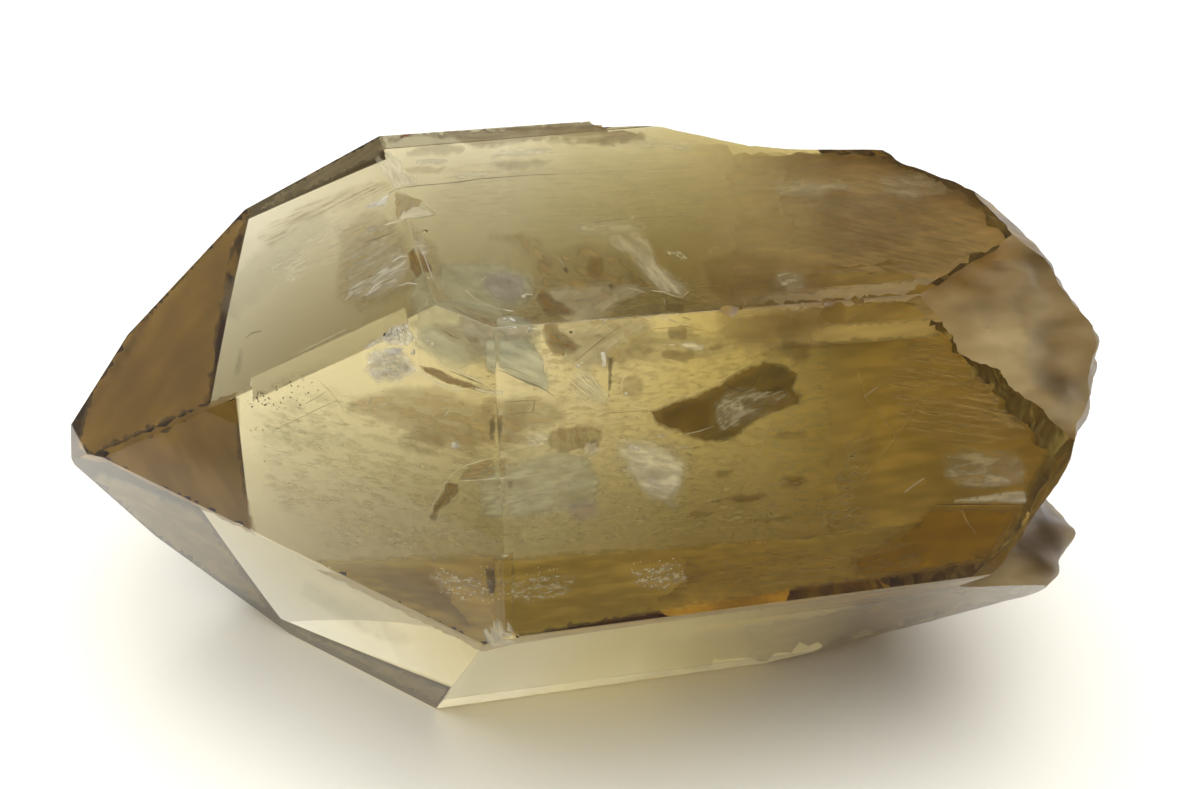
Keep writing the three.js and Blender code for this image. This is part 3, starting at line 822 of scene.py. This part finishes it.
film(veils_and_painted_shade, "R2", [(345, 402), (365, 392), (400, 384), (436, 384), (470, 398), (494, 404), (494, 446), (465, 458), (430, 446), (400, 432), (372, 418), (345, 414)], 9.0, TAN, 0.66, 8.0, 0.35, 10, (34, 10), seed=34.0, tilt=(-10, 8), ripple=0.5)
film(veils_and_painted_shade, "R2", [(392, 436), (412, 426), (440, 430), (452, 446), (432, 458), (404, 456)], 7.0, BROWN, 0.5, 7.0, 0.6, 15, (16, 6), seed=34.5)
film(veils_and_painted_shade, "R2", [(488, 420), (496, 414), (496, 442), (489, 440)], 2.0, UMBER, 0.7, 2.4, 0.3, 90, (16, 4), seed=35.0)
film(fractures_and_painted_reflection, "R2", [(450, 442), (456, 440), (461, 445), (457, 450), (451, 449)], 3.0, SILVER, 0.9, 1.6, 0.3, 20, (5, 3), seed=35.3)
for x, y, w in ((455.5, 445, 0.34), (369, 401, 0.2), (384, 391, 0.2), (387, 424, 0.16), (230, 450, 0.2), (228, 458, 0.12), (447, 413, 0.22), (445, 415, 0.14)):
    speck("R2", x, y, w, 2.6, SILVER)
film(veils_and_painted_shade, "R2", [(456, 480), (466, 468), (478, 462), (496, 457), (496, 476), (480, 481)], 3.0, TAN, 0.8, 2.0, 0.35, -12, (18, 4), seed=36.0, step=2)
line("R2", [(443, 486), (452, 474), (464, 466), (480, 461), (496, 457)], 1.3, 2.6, CREAM, 0.9)
line("R2", [(462, 481), (478, 480), (496, 478.5)], 1.7, 2.6, CREAM, 0.9)
film(veils_and_painted_shade, "R2", [(428, 520), (434, 505), (441, 492), (447, 483), (461, 481), (459, 494), (449, 503), (440, 512), (436, 522)], 3.0, BROWN, 0.85, 1.8, 0.3, -60, (16, 5), seed=36.5, step=2)
line("R2", [(429, 512), (435, 500), (442, 488)], 1.4, 2.6, MILK, 0.95)
film(veils_and_painted_shade, "R2", [(262, 428), (290, 418), (330, 428), (362, 436), (350, 450), (300, 452), (264, 446)], 7.0, SAGE, 0.34, 8.0, 0.6, 12, (16, 6), seed=37.0)
scatter("R2", [(246, 400), (268, 388), (300, 374), (322, 384), (345, 410), (330, 416), (290, 408), (255, 412)], 46, (0.06, 0.15), 1.2, UMBER, 11, 0.3)
scatter("R2", [(246, 398), (262, 392), (280, 402), (270, 410), (250, 408)], 12, (0.10, 0.2), 1.2, INK, 12, 0.3)
line("R2", [(338, 400), (320, 408), (300, 418), (272, 431)], 1.2, 1.0, UMBER, 0.5)
line("R2", [(305, 404), (318, 397), (327, 391)], 1.1, 1.0, UMBER, 0.55)
line("R2", [(318, 380), (330, 391), (344, 410)], 1.0, 1.0, UMBER, 0.45)
scatter("R2", [(250, 430), (262, 424), (268, 460), (256, 470)], 12, (0.06, 0.12), 1.2, BROWN, 13, 0.3)

# --- seen through the big front face M2
film(veils_and_painted_shade, "M2", [(498, 340), (512, 333), (530, 338), (543, 355), (552, 394), (525, 384), (498, 369)], 4.0, SAGE, 0.72, 2.2, 0.08, 20, (40, 12), seed=40.0, wobble=0.4)
line("M2", [(498, 369.5), (522, 380), (540, 387), (554, 396)], 1.7, 3.6, UMBER, 0.75)
line("M2", [(500, 366.5), (512, 369), (527, 375.5)], 1.2, 3.5, BROWN, 0.7)
line("M2", [(543, 355), (546, 368), (553, 392)], 1.3, 3.5, MILK, 0.6)
film(fractures_and_painted_reflection, "M2", [(498, 322), (510, 318), (522, 322), (518, 330), (504, 330)], 2.0, SILVER, 0.7, 2.0, 0.7, 30, (5, 3), seed=40.3)
film(veils_and_painted_shade, "M2", [(554, 325), (600, 321), (630, 318), (690, 318), (660, 326), (630, 340), (610, 356), (590, 372), (570, 365), (556, 345)], 8.0, MILK, 0.42, 6.0, 0.15, -30, (40, 14), seed=40.6)
film(veils_and_painted_shade, "M2", [(567, 330), (569, 331), (572.8, 330.5), (572.5, 333), (570, 334)], 0.8, INK, 1.0, 0.3, 0.0, 0, (9, 5), seed=41.0, step=0.8, wobble=0.0)
film(veils_and_painted_shade, "M2", [(562, 352), (564, 351), (564.5, 356), (563, 357)], 0.8, UMBER, 0.9, 0.5, 0.0, 0, (9, 5), seed=41.2, step=1.0, wobble=0.0)
line("M2", [(576, 361), (588, 351), (600, 341), (614, 331), (622, 325)], 1.6, 1.0, BROWN, 0.8)
speck("M2", 578, 366, 0.34, 2.0, SILVER)
speck("M2", 582, 363, 0.16, 2.0, SILVER)
for x0, y0, x1, y1, w in ((567, 378, 600, 403, 1.6), (571, 375, 601, 398, 1.2), (576, 372, 604, 399, 1.3), (582, 374, 606, 396, 0.9), (590, 374, 609, 397, 0.9), (572, 391, 598, 410, 1.5), (575, 396, 592, 408, 1.0), (566, 384, 590, 402, 0.9)):
    line("M2", [(x0, y0), ((x0 + x1) / 2 - 0.5, (y0 + y1) / 2 + 1.2), (x1, y1)], w, 3.6, CREAM, 1.0)
film(fractures_and_painted_reflection, "M2", [(570, 372), (584, 366), (604, 385), (612, 402), (600, 408), (580, 396)], 4.4, CREAM, 0.45, 4.0, 0.6, 38, (26, 2.4), seed=41.5, tilt=(-15, 18))
film(fractures_and_painted_reflection, "M2", [(600, 352), (606, 351), (607, 366), (602, 369)], 3.0, SILVER, 0.95, 1.4, 0.3, 80, (7, 3), seed=41.8)
film(veils_and_painted_shade, "M2", [(608, 357), (613.5, 357), (612, 382), (610, 402), (607.5, 398)], 2.8, UMBER, 0.82, 1.2, 0.15, 90, (30, 4), seed=42.0, wobble=0.4)
ring = [(634 + 13 * math.cos(a * 0.5236), 387 + 16 * math.sin(a * 0.5236)) for a in range(13)]
film(veils_and_painted_shade, "M2", ring[:-1], 5.0, TAN, 0.45, 6.0, 0.2, 0, (20, 9), seed=42.3)
line("M2", ring[4:9], 1.8, 4.6, CREAM, 0.8, lace=0.4)
line("M2", [(624, 402), (634, 407), (648, 409)], 1.8, 4.4, CREAM, 0.85)
speck("M2", 626, 394, 0.3, 4.2, SILVER)
# the eye-like lens
film(veils_and_painted_shade, "M2", [(614, 352), (632, 338), (660, 328), (690, 328), (716, 336), (736, 346), (722, 356), (690, 364), (650, 364), (622, 362)], 6.0, OLIVE, 0.42, 6.0, 0.35, 3, (40, 5), seed=43.0, tilt=(20, 0))
line("M2", [(612, 357), (630, 341), (655, 329), (685, 326), (712, 333), (735, 345)], 1.5, 5.6, TAN, 0.6)
film(veils_and_painted_shade, "M2", [(667, 327), (687, 326), (688, 340), (668, 340)], 4.6, BROWN, 0.62, 1.5, 0.3, 90, (30, 2.2), seed=43.3, wobble=0.4)
film(veils_and_painted_shade, "M2", [(640, 349), (668, 344), (690, 341), (708, 344), (704, 351), (684, 348), (660, 348)], 4.4, MILK, 0.85, 1.6, 0.15, -3, (40, 4), seed=43.6)
film(veils_and_painted_shade, "M2", [(660, 351), (678, 350), (696, 352), (694, 361), (676, 362), (662, 359)], 4.4, BROWN, 0.6, 2.0, 0.35, 0, (12, 3), seed=43.9)
film(veils_and_painted_shade, "M2", [(708, 346), (718, 343), (726, 344), (720, 350), (710, 351)], 4.4, BROWN, 0.6, 1.6, 0.3, 0, (20, 4), seed=44.2)
line("M2", [(667, 309), (668, 318), (669, 326)], 1.4, 4.2, CREAM, 0.8)
line("M2", [(682, 317), (690, 319.5)], 1.6, 4.0, UMBER, 0.8)
# the leaf-shaped crack
leaf = [(648, 411), (665, 403), (687, 397), (707, 388), (722, 382), (734, 373), (750, 365), (766, 359.5), (785, 364), (801, 376), (793, 388), (806, 396), (800, 405), (780, 411), (760, 420), (747, 428), (737, 438), (722, 443), (705, 443), (690, 438), (680, 434), (664, 431), (655, 424)]
film(veils_and_painted_shade, "M2", leaf, 7.0, (0.235, 0.135, 0.018), 0.90, 3.0, 0.10, -22, (50, 12), seed=45.0, tilt=(14, 16), ripple=0.5, wobble=0.5, step=4)
film(veils_and_painted_shade, "M2", [(655, 414), (690, 400), (715, 392), (712, 410), (708, 432), (690, 434), (664, 428)], 6.4, GOLD, 0.55, 6.0, 0.1, -20, (40, 12), seed=45.3, tilt=(14, 16))
film(fractures_and_painted_reflection, "M2", [(724, 386), (745, 374), (768, 366), (796, 378), (790, 392), (800, 402), (770, 414), (742, 426), (726, 430), (716, 412)], 6.2, CREAM, 0.42, 4.0, 0.82, -22, (24, 3.4), seed=45.6, tilt=(14, 16), ripple=0.6)
film(fractures_and_painted_reflection, "M2", [(714, 400), (726, 396), (744, 394), (746, 408), (738, 428), (722, 432), (714, 420)], 5.8, CREAM, 0.6, 3.0, 0.75, -35, (7, 3), seed=45.9, ripple=0.6)
line("M2", [(660, 402.5), (690, 394), (718, 382), (734, 372.5), (752, 362)], 1.4, 5.6, MILK, 0.7)
line("M2", [(686, 434), (700, 431), (714, 426)], 1.4, 5.4, CREAM, 0.9)
line("M2", [(602, 414), (625, 412), (648, 410.5)], 1.4, 5.4, BROWN, 0.6)
line("M2", [(606, 419), (630, 418), (648, 414)], 1.4, 5.4, CREAM, 0.5)
line("M2", [(724, 384), (742, 392), (752, 386), (760, 374)], 1.4, 5.2, UMBER, 0.6)
# the bright crackled patch below it
film(fractures_and_painted_reflection, "M2", [(604, 440), (640, 431), (672, 436), (694, 446), (700, 462), (690, 488), (680, 508), (655, 506), (632, 490), (612, 466)], 8.0, CREAM, 0.5, 9.0, 0.75, 14, (20, 6), seed=46.0, tilt=(-20, 14), ripple=0.9, step=3)
film(veils_and_painted_shade, "M2", [(612, 444), (642, 436), (676, 446), (690, 462), (684, 492), (670, 506), (646, 498), (624, 474)], 4.0, CREAM, 0.95, 12.0, 0.30, 12, (22, 7), seed=46.4, tilt=(30, 0), ripple=0.5)
for x, y, w, h in ((634, 447, 9, 5), (672, 505, 8, 5), (655, 482, 12, 5), (662, 436, 7, 3), (645, 466, 10, 5), (686, 447, 6, 3)):
    film(veils_and_painted_shade, "M2", [(x - w, y), (x - w / 2, y - h), (x + w / 2, y - h), (x + w, y + 1), (x + w / 2, y + h), (x - w / 3, y + h)], 6.6, SILVER, 0.75, 4.0, 0.35, 15, (9, 4), seed=x * 0.1)
film(veils_and_painted_shade, "M2", [(498, 470), (520, 458), (560, 448), (590, 455), (602, 480), (598, 505), (560, 515), (520, 520), (500, 516)], 6.0, SAGE, 0.62, 6.0, 0.3, -10, (26, 7), seed=47.0, tilt=(10, -14), ripple=0.4)
film(veils_and_painted_shade, "M2", [(586, 442), (597, 438), (600, 452), (590, 458), (582, 452)], 4.6, MILK, 0.9, 1.8, 0.2, -50, (12, 4), seed=47.3)
film(veils_and_painted_shade, "M2", [(548, 431), (566, 426), (586, 424), (606, 428), (598, 454), (580, 449), (562, 455), (548, 446)], 5.4, BROWN, 0.66, 3.0, 0.4, 80, (20, 4), seed=47.6)
film(fractures_and_painted_reflection, "M2", [(524, 436), (538, 431), (552, 434), (550, 444), (536, 449), (526, 444)], 4.8, CREAM, 0.75, 3.5, 0.55, 20, (8, 4), seed=48.0, ripple=0.5)
film(veils_and_painted_shade, "M2", [(500, 398), (530, 392), (560, 402), (570, 420), (545, 434), (520, 432), (500, 425)], 6.6, TAN, 0.5, 7.0, 0.3, 5, (30, 8), seed=48.3)
line("M2", [(505, 402), (520, 401), (535, 400)], 1.3, 3.2, UMBER, 0.6)
line("M2", [(535, 400), (534, 407), (532, 413)], 1.5, 3.2, UMBER, 0.65)
line("M2", [(532, 413), (518, 413), (510, 415)], 1.4, 3.2, UMBER, 0.6)
film(veils_and_painted_shade, "M2", [(498, 500), (560, 480), (600, 478), (596, 482), (556, 497), (510, 512)], 4.0, MILK, 0.4, 4.0, 0.4, -14, (40, 5), seed=48.6)
line("M2", [(500, 478), (520, 477), (545, 473), (556, 470)], 1.6, 3.2, CREAM, 0.7)
film(veils_and_painted_shade, "M2", [(506, 480), (514, 480), (513, 490), (508, 490)], 2.6, (0.30, 0.14, 0.09), 0.6, 1.6, 0.2, 90, (14, 3), seed=48.9)
# faint veils all through the body
film(veils_and_painted_shade, "M2", [(500, 320), (700, 308), (880, 300), (880, 540), (700, 555), (500, 565)], 11.0, HAZE, 0.42, 24.0, 0.8, -6, (15, 5), seed=70.0, ripple=0.5, step=16)
film(veils_and_painted_shade, "R2", [(250, 410), (330, 378), (380, 400), (494, 420), (494, 560), (400, 570), (330, 560), (262, 500)], 10.0, HAZE, 0.42, 16.0, 0.8, 12, (18, 6), seed=71.0, ripple=0.5, step=14)
# haze that deepens to the right
film(veils_and_painted_shade, "M2", [(566, 500), (598, 498), (604, 516), (580, 524), (564, 514)], 4.0, (0.46, 0.34, 0.36), 0.38, 6.0, 0.1, 10, (20, 8), seed=49.3)
for x, y, w, h, m in ((792, 482, 20, 8, 0.6), (748, 498, 24, 5, 0.5), (723, 474, 12, 5, 0.45), (776, 506, 14, 2, 0.5), (843, 482, 10, 8, 0.5), (790, 436, 22, 5, 0.35), (738, 500, 30, 4, 0.35), (872, 480, 16, 14, 0.55), (835, 460, 18, 10, 0.35), (700, 514, 20, 4, 0.4), (770, 520, 30, 4, 0.3)):
    film(veils_and_painted_shade, "M2", [(x - w, y + 2), (x - w * 0.4, y - h), (x + w * 0.6, y - h), (x + w, y - 2), (x + w * 0.4, y + h * 0.8), (x - w * 0.5, y + h)], 9.0, BROWN, m + 0.15, 0.6 * h, 0.35, -10, (20, 5), seed=x * 0.07)
film(veils_and_painted_shade, "M2", [(775, 325), (800, 318), (816, 330), (812, 360), (795, 372), (778, 352)], 6.0, BROWN, 0.42, 8.0, 0.3, -60, (26, 7), seed=50.0)
film(veils_and_painted_shade, "M2", [(752, 345), (790, 338), (812, 348), (808, 360), (780, 362), (760, 358)], 5.6, UMBER, 0.3, 6.0, 0.3, -8, (30, 6), seed=50.3)
film(haze_and_painted_shade, "M1", [(690, 301), (800, 290), (870, 283), (936, 275), (944, 284), (930, 296), (840, 303), (740, 310), (690, 313)], 1.2, (0.46, 0.34, 0.16), 0.84, 2.5, 0.06, -4, (50, 6), seed=15.0, ripple=0.1, step=5, rise=(690, 830), wobble=0.1)
film(haze_and_painted_shade, "M2", [(760, 330), (800, 325), (870, 321), (938, 316), (946, 328), (938, 338), (870, 343), (800, 346), (760, 346)], 1.2, (0.80, 0.57, 0.17), 0.84, 3.0, 0.06, -8, (60, 14), seed=51.9, ripple=0.1, step=5, rise=(740, 880), wobble=0.1)
M2_END = [(640, 308), (760, 302), (880, 294), (950, 296), (1008, 340), (1052, 412), (1056, 450), (1034, 490), (1020, 526), (992, 562), (930, 572), (820, 582), (640, 600)]
film(haze_and_painted_shade, "M2", M2_END, 10.5, (0.86, 0.64, 0.22), 0.86, 3.0, 0.06, -4, (70, 12), seed=50.6, ripple=0.3, step=11, rise=(670, 880), wobble=0.2)
film(haze_and_painted_shade, "M2", M2_END, 8.2, (0.80, 0.57, 0.17), 0.84, 3.0, 0.12, -8, (60, 14), seed=50.8, ripple=0.3, step=10, rise=(760, 895), wobble=0.2)
film(veils_and_painted_shade, "M2", [(900, 330), (960, 320), (1030, 400), (1036, 440), (960, 452), (900, 430), (880, 380)], 2.4, AMBER, 0.5, 12.0, 0.7, 8, (60, 4), seed=50.9, ripple=0.2, step=8)
film(veils_and_painted_shade, "M2", [(990, 345), (1030, 340), (1050, 380), (1020, 392), (992, 372)], 2.0, BROWN, 0.5, 8.0, 0.4, 8, (30, 5), seed=50.95)
line("M2", [(858, 372), (866, 398), (888, 424), (905, 450)], 2.2, 3.0, AMBER, 0.6, lace=0.4)
line("M2", [(932, 380), (905, 424), (870, 470), (845, 505)], 1.6, 3.0, AMBER, 0.4, lace=0.4)
film(haze_and_painted_shade, "M2", [(928, 505), (1027, 505), (1018, 524), (1004, 542), (992, 562), (930, 574), (860, 582), (846, 560), (900, 530)], 2.2, (0.36, 0.18, 0.003), 0.9, 9.0, 0.05, -5, (60, 16), seed=51.6, wobble=0.2, ripple=0.05, step=6)
line("M2", [(960, 506), (966, 520), (976, 534)], 2.0, 1.4, AMBER, 0.7)
line("M2", [(904.6, 492.5), (914, 485), (924.5, 478)], 1.6, 3.0, CREAM, 0.9)
line("M2", [(864, 396.8), (872, 391), (879, 386)], 1.5, 3.0, CREAM, 0.9)
line("M2", [(757, 407), (768, 405), (778, 407)], 1.1, 3.4, UMBER, 0.5)
# pale clouds, the pale wedge and the deep zone under its sharp edge
film(veils_and_painted_shade, "M2", [(940, 452), (975, 446), (1020, 450), (1030, 470), (1024, 486), (975, 492), (944, 480)], 2.6, MILK, 0.6, 8.0, 0.5, -4, (26, 8), seed=51.0)
film(veils_and_painted_shade, "M2", [(940, 503.5), (965, 497), (1000, 492), (1028, 489), (1027, 503.8)], 1.8, CREAM, 0.7, 1.4, 0.2, -3, (40, 6), seed=51.3, wobble=0.15)
line("M2", [(936, 504.4), (980, 504.2), (1027, 504.3)], 1.4, 1.3, UMBER, 0.85)
# low zone where the resting face is seen mirrored: painted reflection of the shaded resting face, as lacy brown sheets,
# pale patches and fine pale specks
film(haze_and_painted_shade, "M2", [(492, 558), (560, 551), (660, 545), (800, 536), (930, 520), (1000, 516), (992, 556), (930, 572), (800, 590), (680, 610), (560, 630), (480, 648), (487, 600)], 3.4, (0.50, 0.34, 0.07), 0.86, 4.0, 0.12, -6, (44, 8), seed=52.05, ripple=0.2, step=5, wobble=0.3)
film(haze_and_painted_shade, "R2", [(286, 562), (360, 556), (504, 552), (502, 650), (470, 646), (430, 622), (370, 598), (320, 578)], 3.4, (0.50, 0.35, 0.09), 0.86, 4.0, 0.15, 6, (36, 8), seed=52.1, ripple=0.2, step=5, wobble=0.3)
film(veils_and_painted_shade, "M2", [(500, 566), (600, 558), (760, 548), (900, 538), (935, 545), (920, 575), (820, 588), (680, 604), (560, 622), (520, 628), (500, 610)], 3.0, (0.34, 0.19, 0.03), 0.60, 6.0, 0.75, -6, (30, 5), seed=52.0, ripple=0.4, step=7)
film(fractures_and_painted_reflection, "M2", [(626, 566), (650, 558), (682, 560), (690, 580), (664, 592), (634, 588)], 2.6, CREAM, 0.5, 5.0, 0.9, -6, (6, 3), seed=52.3)
film(fractures_and_painted_reflection, "M2", [(500, 570), (540, 566), (580, 572), (570, 596), (530, 606), (502, 600)], 2.6, CREAM, 0.35, 6.0, 0.9, -6, (8, 3), seed=52.5)
film(veils_and_painted_shade, "R2", [(352, 572), (420, 566), (496, 566), (496, 634), (470, 632), (430, 606), (388, 586)], 3.0, BROWN, 0.45, 5.0, 0.35, 8, (30, 7), seed=52.7)
film(fractures_and_painted_reflection, "R2", [(428, 572), (460, 564), (494, 566), (494, 596), (462, 604), (438, 592)], 2.6, CREAM, 0.45, 5.0, 0.9, 10, (6, 3), seed=52.9)
film(veils_and_painted_shade, "R2", [(484, 568), (496, 566), (496, 594), (488, 596)], 2.0, UMBER, 0.75, 2.0, 0.2, 80, (12, 4), seed=53.1)
scatter("R2", [(430, 566), (495, 566), (495, 604), (440, 598)], 60, (0.05, 0.12), 2.2, CREAM, 21, 0.6)
scatter("M2", [(630, 562), (682, 558), (686, 588), (636, 590)], 44, (0.05, 0.12), 2.2, CREAM, 22, 0.6)
scatter("M2", [(500, 568), (560, 566), (560, 600), (500, 604)], 30, (0.05, 0.11), 2.2, CREAM, 23, 0.6)
# --- seen through the low front band M3 and the lower-left face R3
film(veils_and_painted_shade, "M3", [(484, 643.5), (501, 638), (521, 640.5), (508, 646), (494, 648)], 0.9, CREAM, 0.7, 2.0, 0.15, 10, (16, 5), seed=60.0)
M3_END = [(640, 640), (800, 614), (900, 596), (1040, 572), (1036, 606), (960, 632), (860, 652), (760, 670), (640, 690)]
film(haze_and_painted_shade, "M3", M3_END, 2.2, (0.50, 0.39, 0.19), 0.80, 3.0, 0.12, -10, (50, 6), seed=60.5, step=8, rise=(600, 840), wobble=0.2)
film(haze_and_painted_shade, "M3", M3_END, 1.2, (0.40, 0.28, 0.11), 0.8, 3.0, 0.2, -10, (50, 6), seed=60.7, step=8, rise=(780, 880), wobble=0.2)
film(veils_and_painted_shade, "M3", [(884, 612), (920, 602), (950, 604), (945, 620), (905, 626)], 2.0, UMBER, 0.55, 5.0, 0.3, -12, (20, 6), seed=61.0)
film(haze_and_painted_shade, "R3", [(88, 466), (130, 482), (202, 511), (282, 622), (230, 588), (150, 536), (102, 498)], 1.2, (0.60, 0.46, 0.20), 0.55, 2.0, 0.10, 30, (30, 8), seed=62.1, ripple=0.1, step=5, wobble=0.1)
film(haze_and_painted_shade, "R3", [(286, 623), (450, 689), (437, 704), (294, 633)], 0.8, (0.62, 0.50, 0.26), 0.6, 1.5, 0.10, 20, (30, 8), seed=62.4, ripple=0.05, step=4, wobble=0.1)
film(veils_and_painted_shade, "R3", [(300, 575), (360, 600), (420, 640), (400, 650), (350, 630), (300, 596)], 6.0, SAGE, 0.3, 8.0, 0.5, 30, (30, 6), seed=61.5)

for layer in (veils_and_painted_shade, haze_and_painted_shade, fractures_and_painted_reflection, lines, specks_and_painted_reflection):
    layer.build()

# ---------------------------------------------------------------- floor
bm = bmesh.new()
bmesh.ops.create_circle(bm, cap_ends=True, radius=3.0, segments=96)
me = bpy.data.meshes.new("floor")
bm.to_mesh(me); bm.free()
floor = new_object("floor", me)
floor.location.z = -0.00015
mat, nt, out = node_material("floor_white")
d = nt.nodes.new("ShaderNodeBsdfDiffuse")
tcf = nt.nodes.new("ShaderNodeTexCoord")
far = nt.nodes.new("ShaderNodeVectorMath"); far.operation = "LENGTH"
nt.links.new(tcf.outputs["Object"], far.inputs[0])
# painted shade: the paper is painted darker far out and towards the left, standing in for the dim room
painted_shade_far = nt.nodes.new("ShaderNodeMapRange")
painted_shade_far.interpolation_type = "SMOOTHSTEP"
painted_shade_far.inputs["From Min"].default_value = 0.32
painted_shade_far.inputs["From Max"].default_value = 0.9
nt.links.new(far.outputs["Value"], painted_shade_far.inputs["Value"])
# the paper colour: white, with a painted caustic near the crystal and painted shade far to the left
paper_with_painted_light = nt.nodes.new("ShaderNodeMix"); paper_with_painted_light.data_type = "RGBA"
# painted caustic: the golden light that falls through the crystal is painted into the paper as a faint warmth close to
# it
painted_caustic_mask = nt.nodes.new("ShaderNodeMapRange")
painted_caustic_mask.interpolation_type = "SMOOTHSTEP"
painted_caustic_mask.inputs["From Min"].default_value = 0.045
painted_caustic_mask.inputs["From Max"].default_value = 0.088
nt.links.new(far.outputs["Value"], painted_caustic_mask.inputs["Value"])
painted_caustic_tint = nt.nodes.new("ShaderNodeMix"); painted_caustic_tint.data_type = "RGBA"
painted_caustic_tint.inputs["A"].default_value = (0.95, 0.922, 0.82, 1)
painted_caustic_tint.inputs["B"].default_value = (0.92, 0.92, 0.915, 1)
nt.links.new(painted_caustic_mask.outputs[0], painted_caustic_tint.inputs["Factor"])
nt.links.new(painted_caustic_tint.outputs["Result"], paper_with_painted_light.inputs["A"])
paper_with_painted_light.inputs["B"].default_value = (0.40, 0.40, 0.398, 1)
sepf = nt.nodes.new("ShaderNodeSeparateXYZ")
nt.links.new(tcf.outputs["Object"], sepf.inputs[0])
painted_shade_left = nt.nodes.new("ShaderNodeMapRange")
painted_shade_left.interpolation_type = "SMOOTHSTEP"
painted_shade_left.inputs["From Min"].default_value = 0.10
painted_shade_left.inputs["From Max"].default_value = -0.30
nt.links.new(sepf.outputs["X"], painted_shade_left.inputs["Value"])
# painted shade mask: far out and to the left
painted_shade_mask = nt.nodes.new("ShaderNodeMath"); painted_shade_mask.operation = "MULTIPLY"
nt.links.new(painted_shade_far.outputs[0], painted_shade_mask.inputs[0])
nt.links.new(painted_shade_left.outputs[0], painted_shade_mask.inputs[1])
nt.links.new(painted_shade_mask.outputs[0], paper_with_painted_light.inputs["Factor"])
nt.links.new(paper_with_painted_light.outputs["Result"], d.inputs["Color"])
nt.links.new(d.outputs[0], out.inputs["Surface"])
me.materials.append(mat)

# ---------------------------------------------------------------- light
LIGHT_AXIS = (-0.15, 0.12, 0.98)
ZENITH = 3.15
HORIZON_FRONT = 0.32
HORIZON_BACK = 0.79
HORIZON_SIDE = 0.2
ROOM = 0.10
world = bpy.data.worlds.new("studio")
scene.world = world
world.use_nodes = True
wn = world.node_tree
world.cycles.sampling_method = "NONE"
wn.nodes.clear()
wo = wn.nodes.new("ShaderNodeOutputWorld")
bg = wn.nodes.new("ShaderNodeBackground")
wn.links.new(bg.outputs[0], wo.inputs["Surface"])
# a broad overhead diffuser in a dim room: bright at the zenith, dim above the horizon, a pale paper sweep low behind
tc = wn.nodes.new("ShaderNodeTexCoord")


def world_map(source, lo, hi, a, b):
    mr = wn.nodes.new("ShaderNodeMapRange")
    mr.interpolation_type = "SMOOTHSTEP"
    mr.inputs["From Min"].default_value = lo
    mr.inputs["From Max"].default_value = hi
    mr.inputs["To Min"].default_value = a
    mr.inputs["To Max"].default_value = b
    wn.links.new(source, mr.inputs["Value"])
    return mr.outputs[0]


def world_math(op, x, y):
    m = wn.nodes.new("ShaderNodeMath")
    m.operation = op
    for sock, v in zip(m.inputs, (x, y)):
        if isinstance(v, float):
            sock.default_value = v
        else:
            wn.links.new(v, sock)
    return m.outputs[0]


axis = wn.nodes.new("ShaderNodeVectorMath")
axis.operation = "DOT_PRODUCT"
axis.inputs[1].default_value = LIGHT_AXIS
wn.links.new(tc.outputs["Generated"], axis.inputs[0])
sep = wn.nodes.new("ShaderNodeSeparateXYZ")
wn.links.new(tc.outputs["Generated"], sep.inputs[0])
top = world_map(axis.outputs["Value"], 0.58, 0.93, 0.0, ZENITH)
sweep = world_map(sep.outputs["Z"], 0.10, 0.30, 1.0, 0.0)
back = world_map(sep.outputs["Y"], -0.3, 0.5, HORIZON_FRONT, HORIZON_BACK)
side = world_map(sep.outputs["X"], -0.55, -0.10, HORIZON_SIDE, 1.0)
low = world_math("MULTIPLY", sweep, world_math("MULTIPLY", back, side))
total = world_math("ADD", world_math("ADD", top, low), ROOM)
wn.links.new(total, bg.inputs["Strength"])
bg.inputs["Color"].default_value = (1, 1, 1, 1)

scene.view_settings.view_transform = "Standard"
scene.view_settings.look = "None"
scene.view_settings.exposure = 0.0
scene.view_settings.gamma = 1.0
scene.cycles.max_bounces = 12
scene.cycles.transmission_bounces = 12
scene.cycles.glossy_bounces = 10
scene.cycles.diffuse_bounces = 2
scene.cycles.transparent_max_bounces = 64
scene.cycles.caustics_reflective = True
scene.cycles.caustics_refractive = True
scene.cycles.blur_glossy = 0.3
scene.cycles.sample_clamp_indirect = 6.0
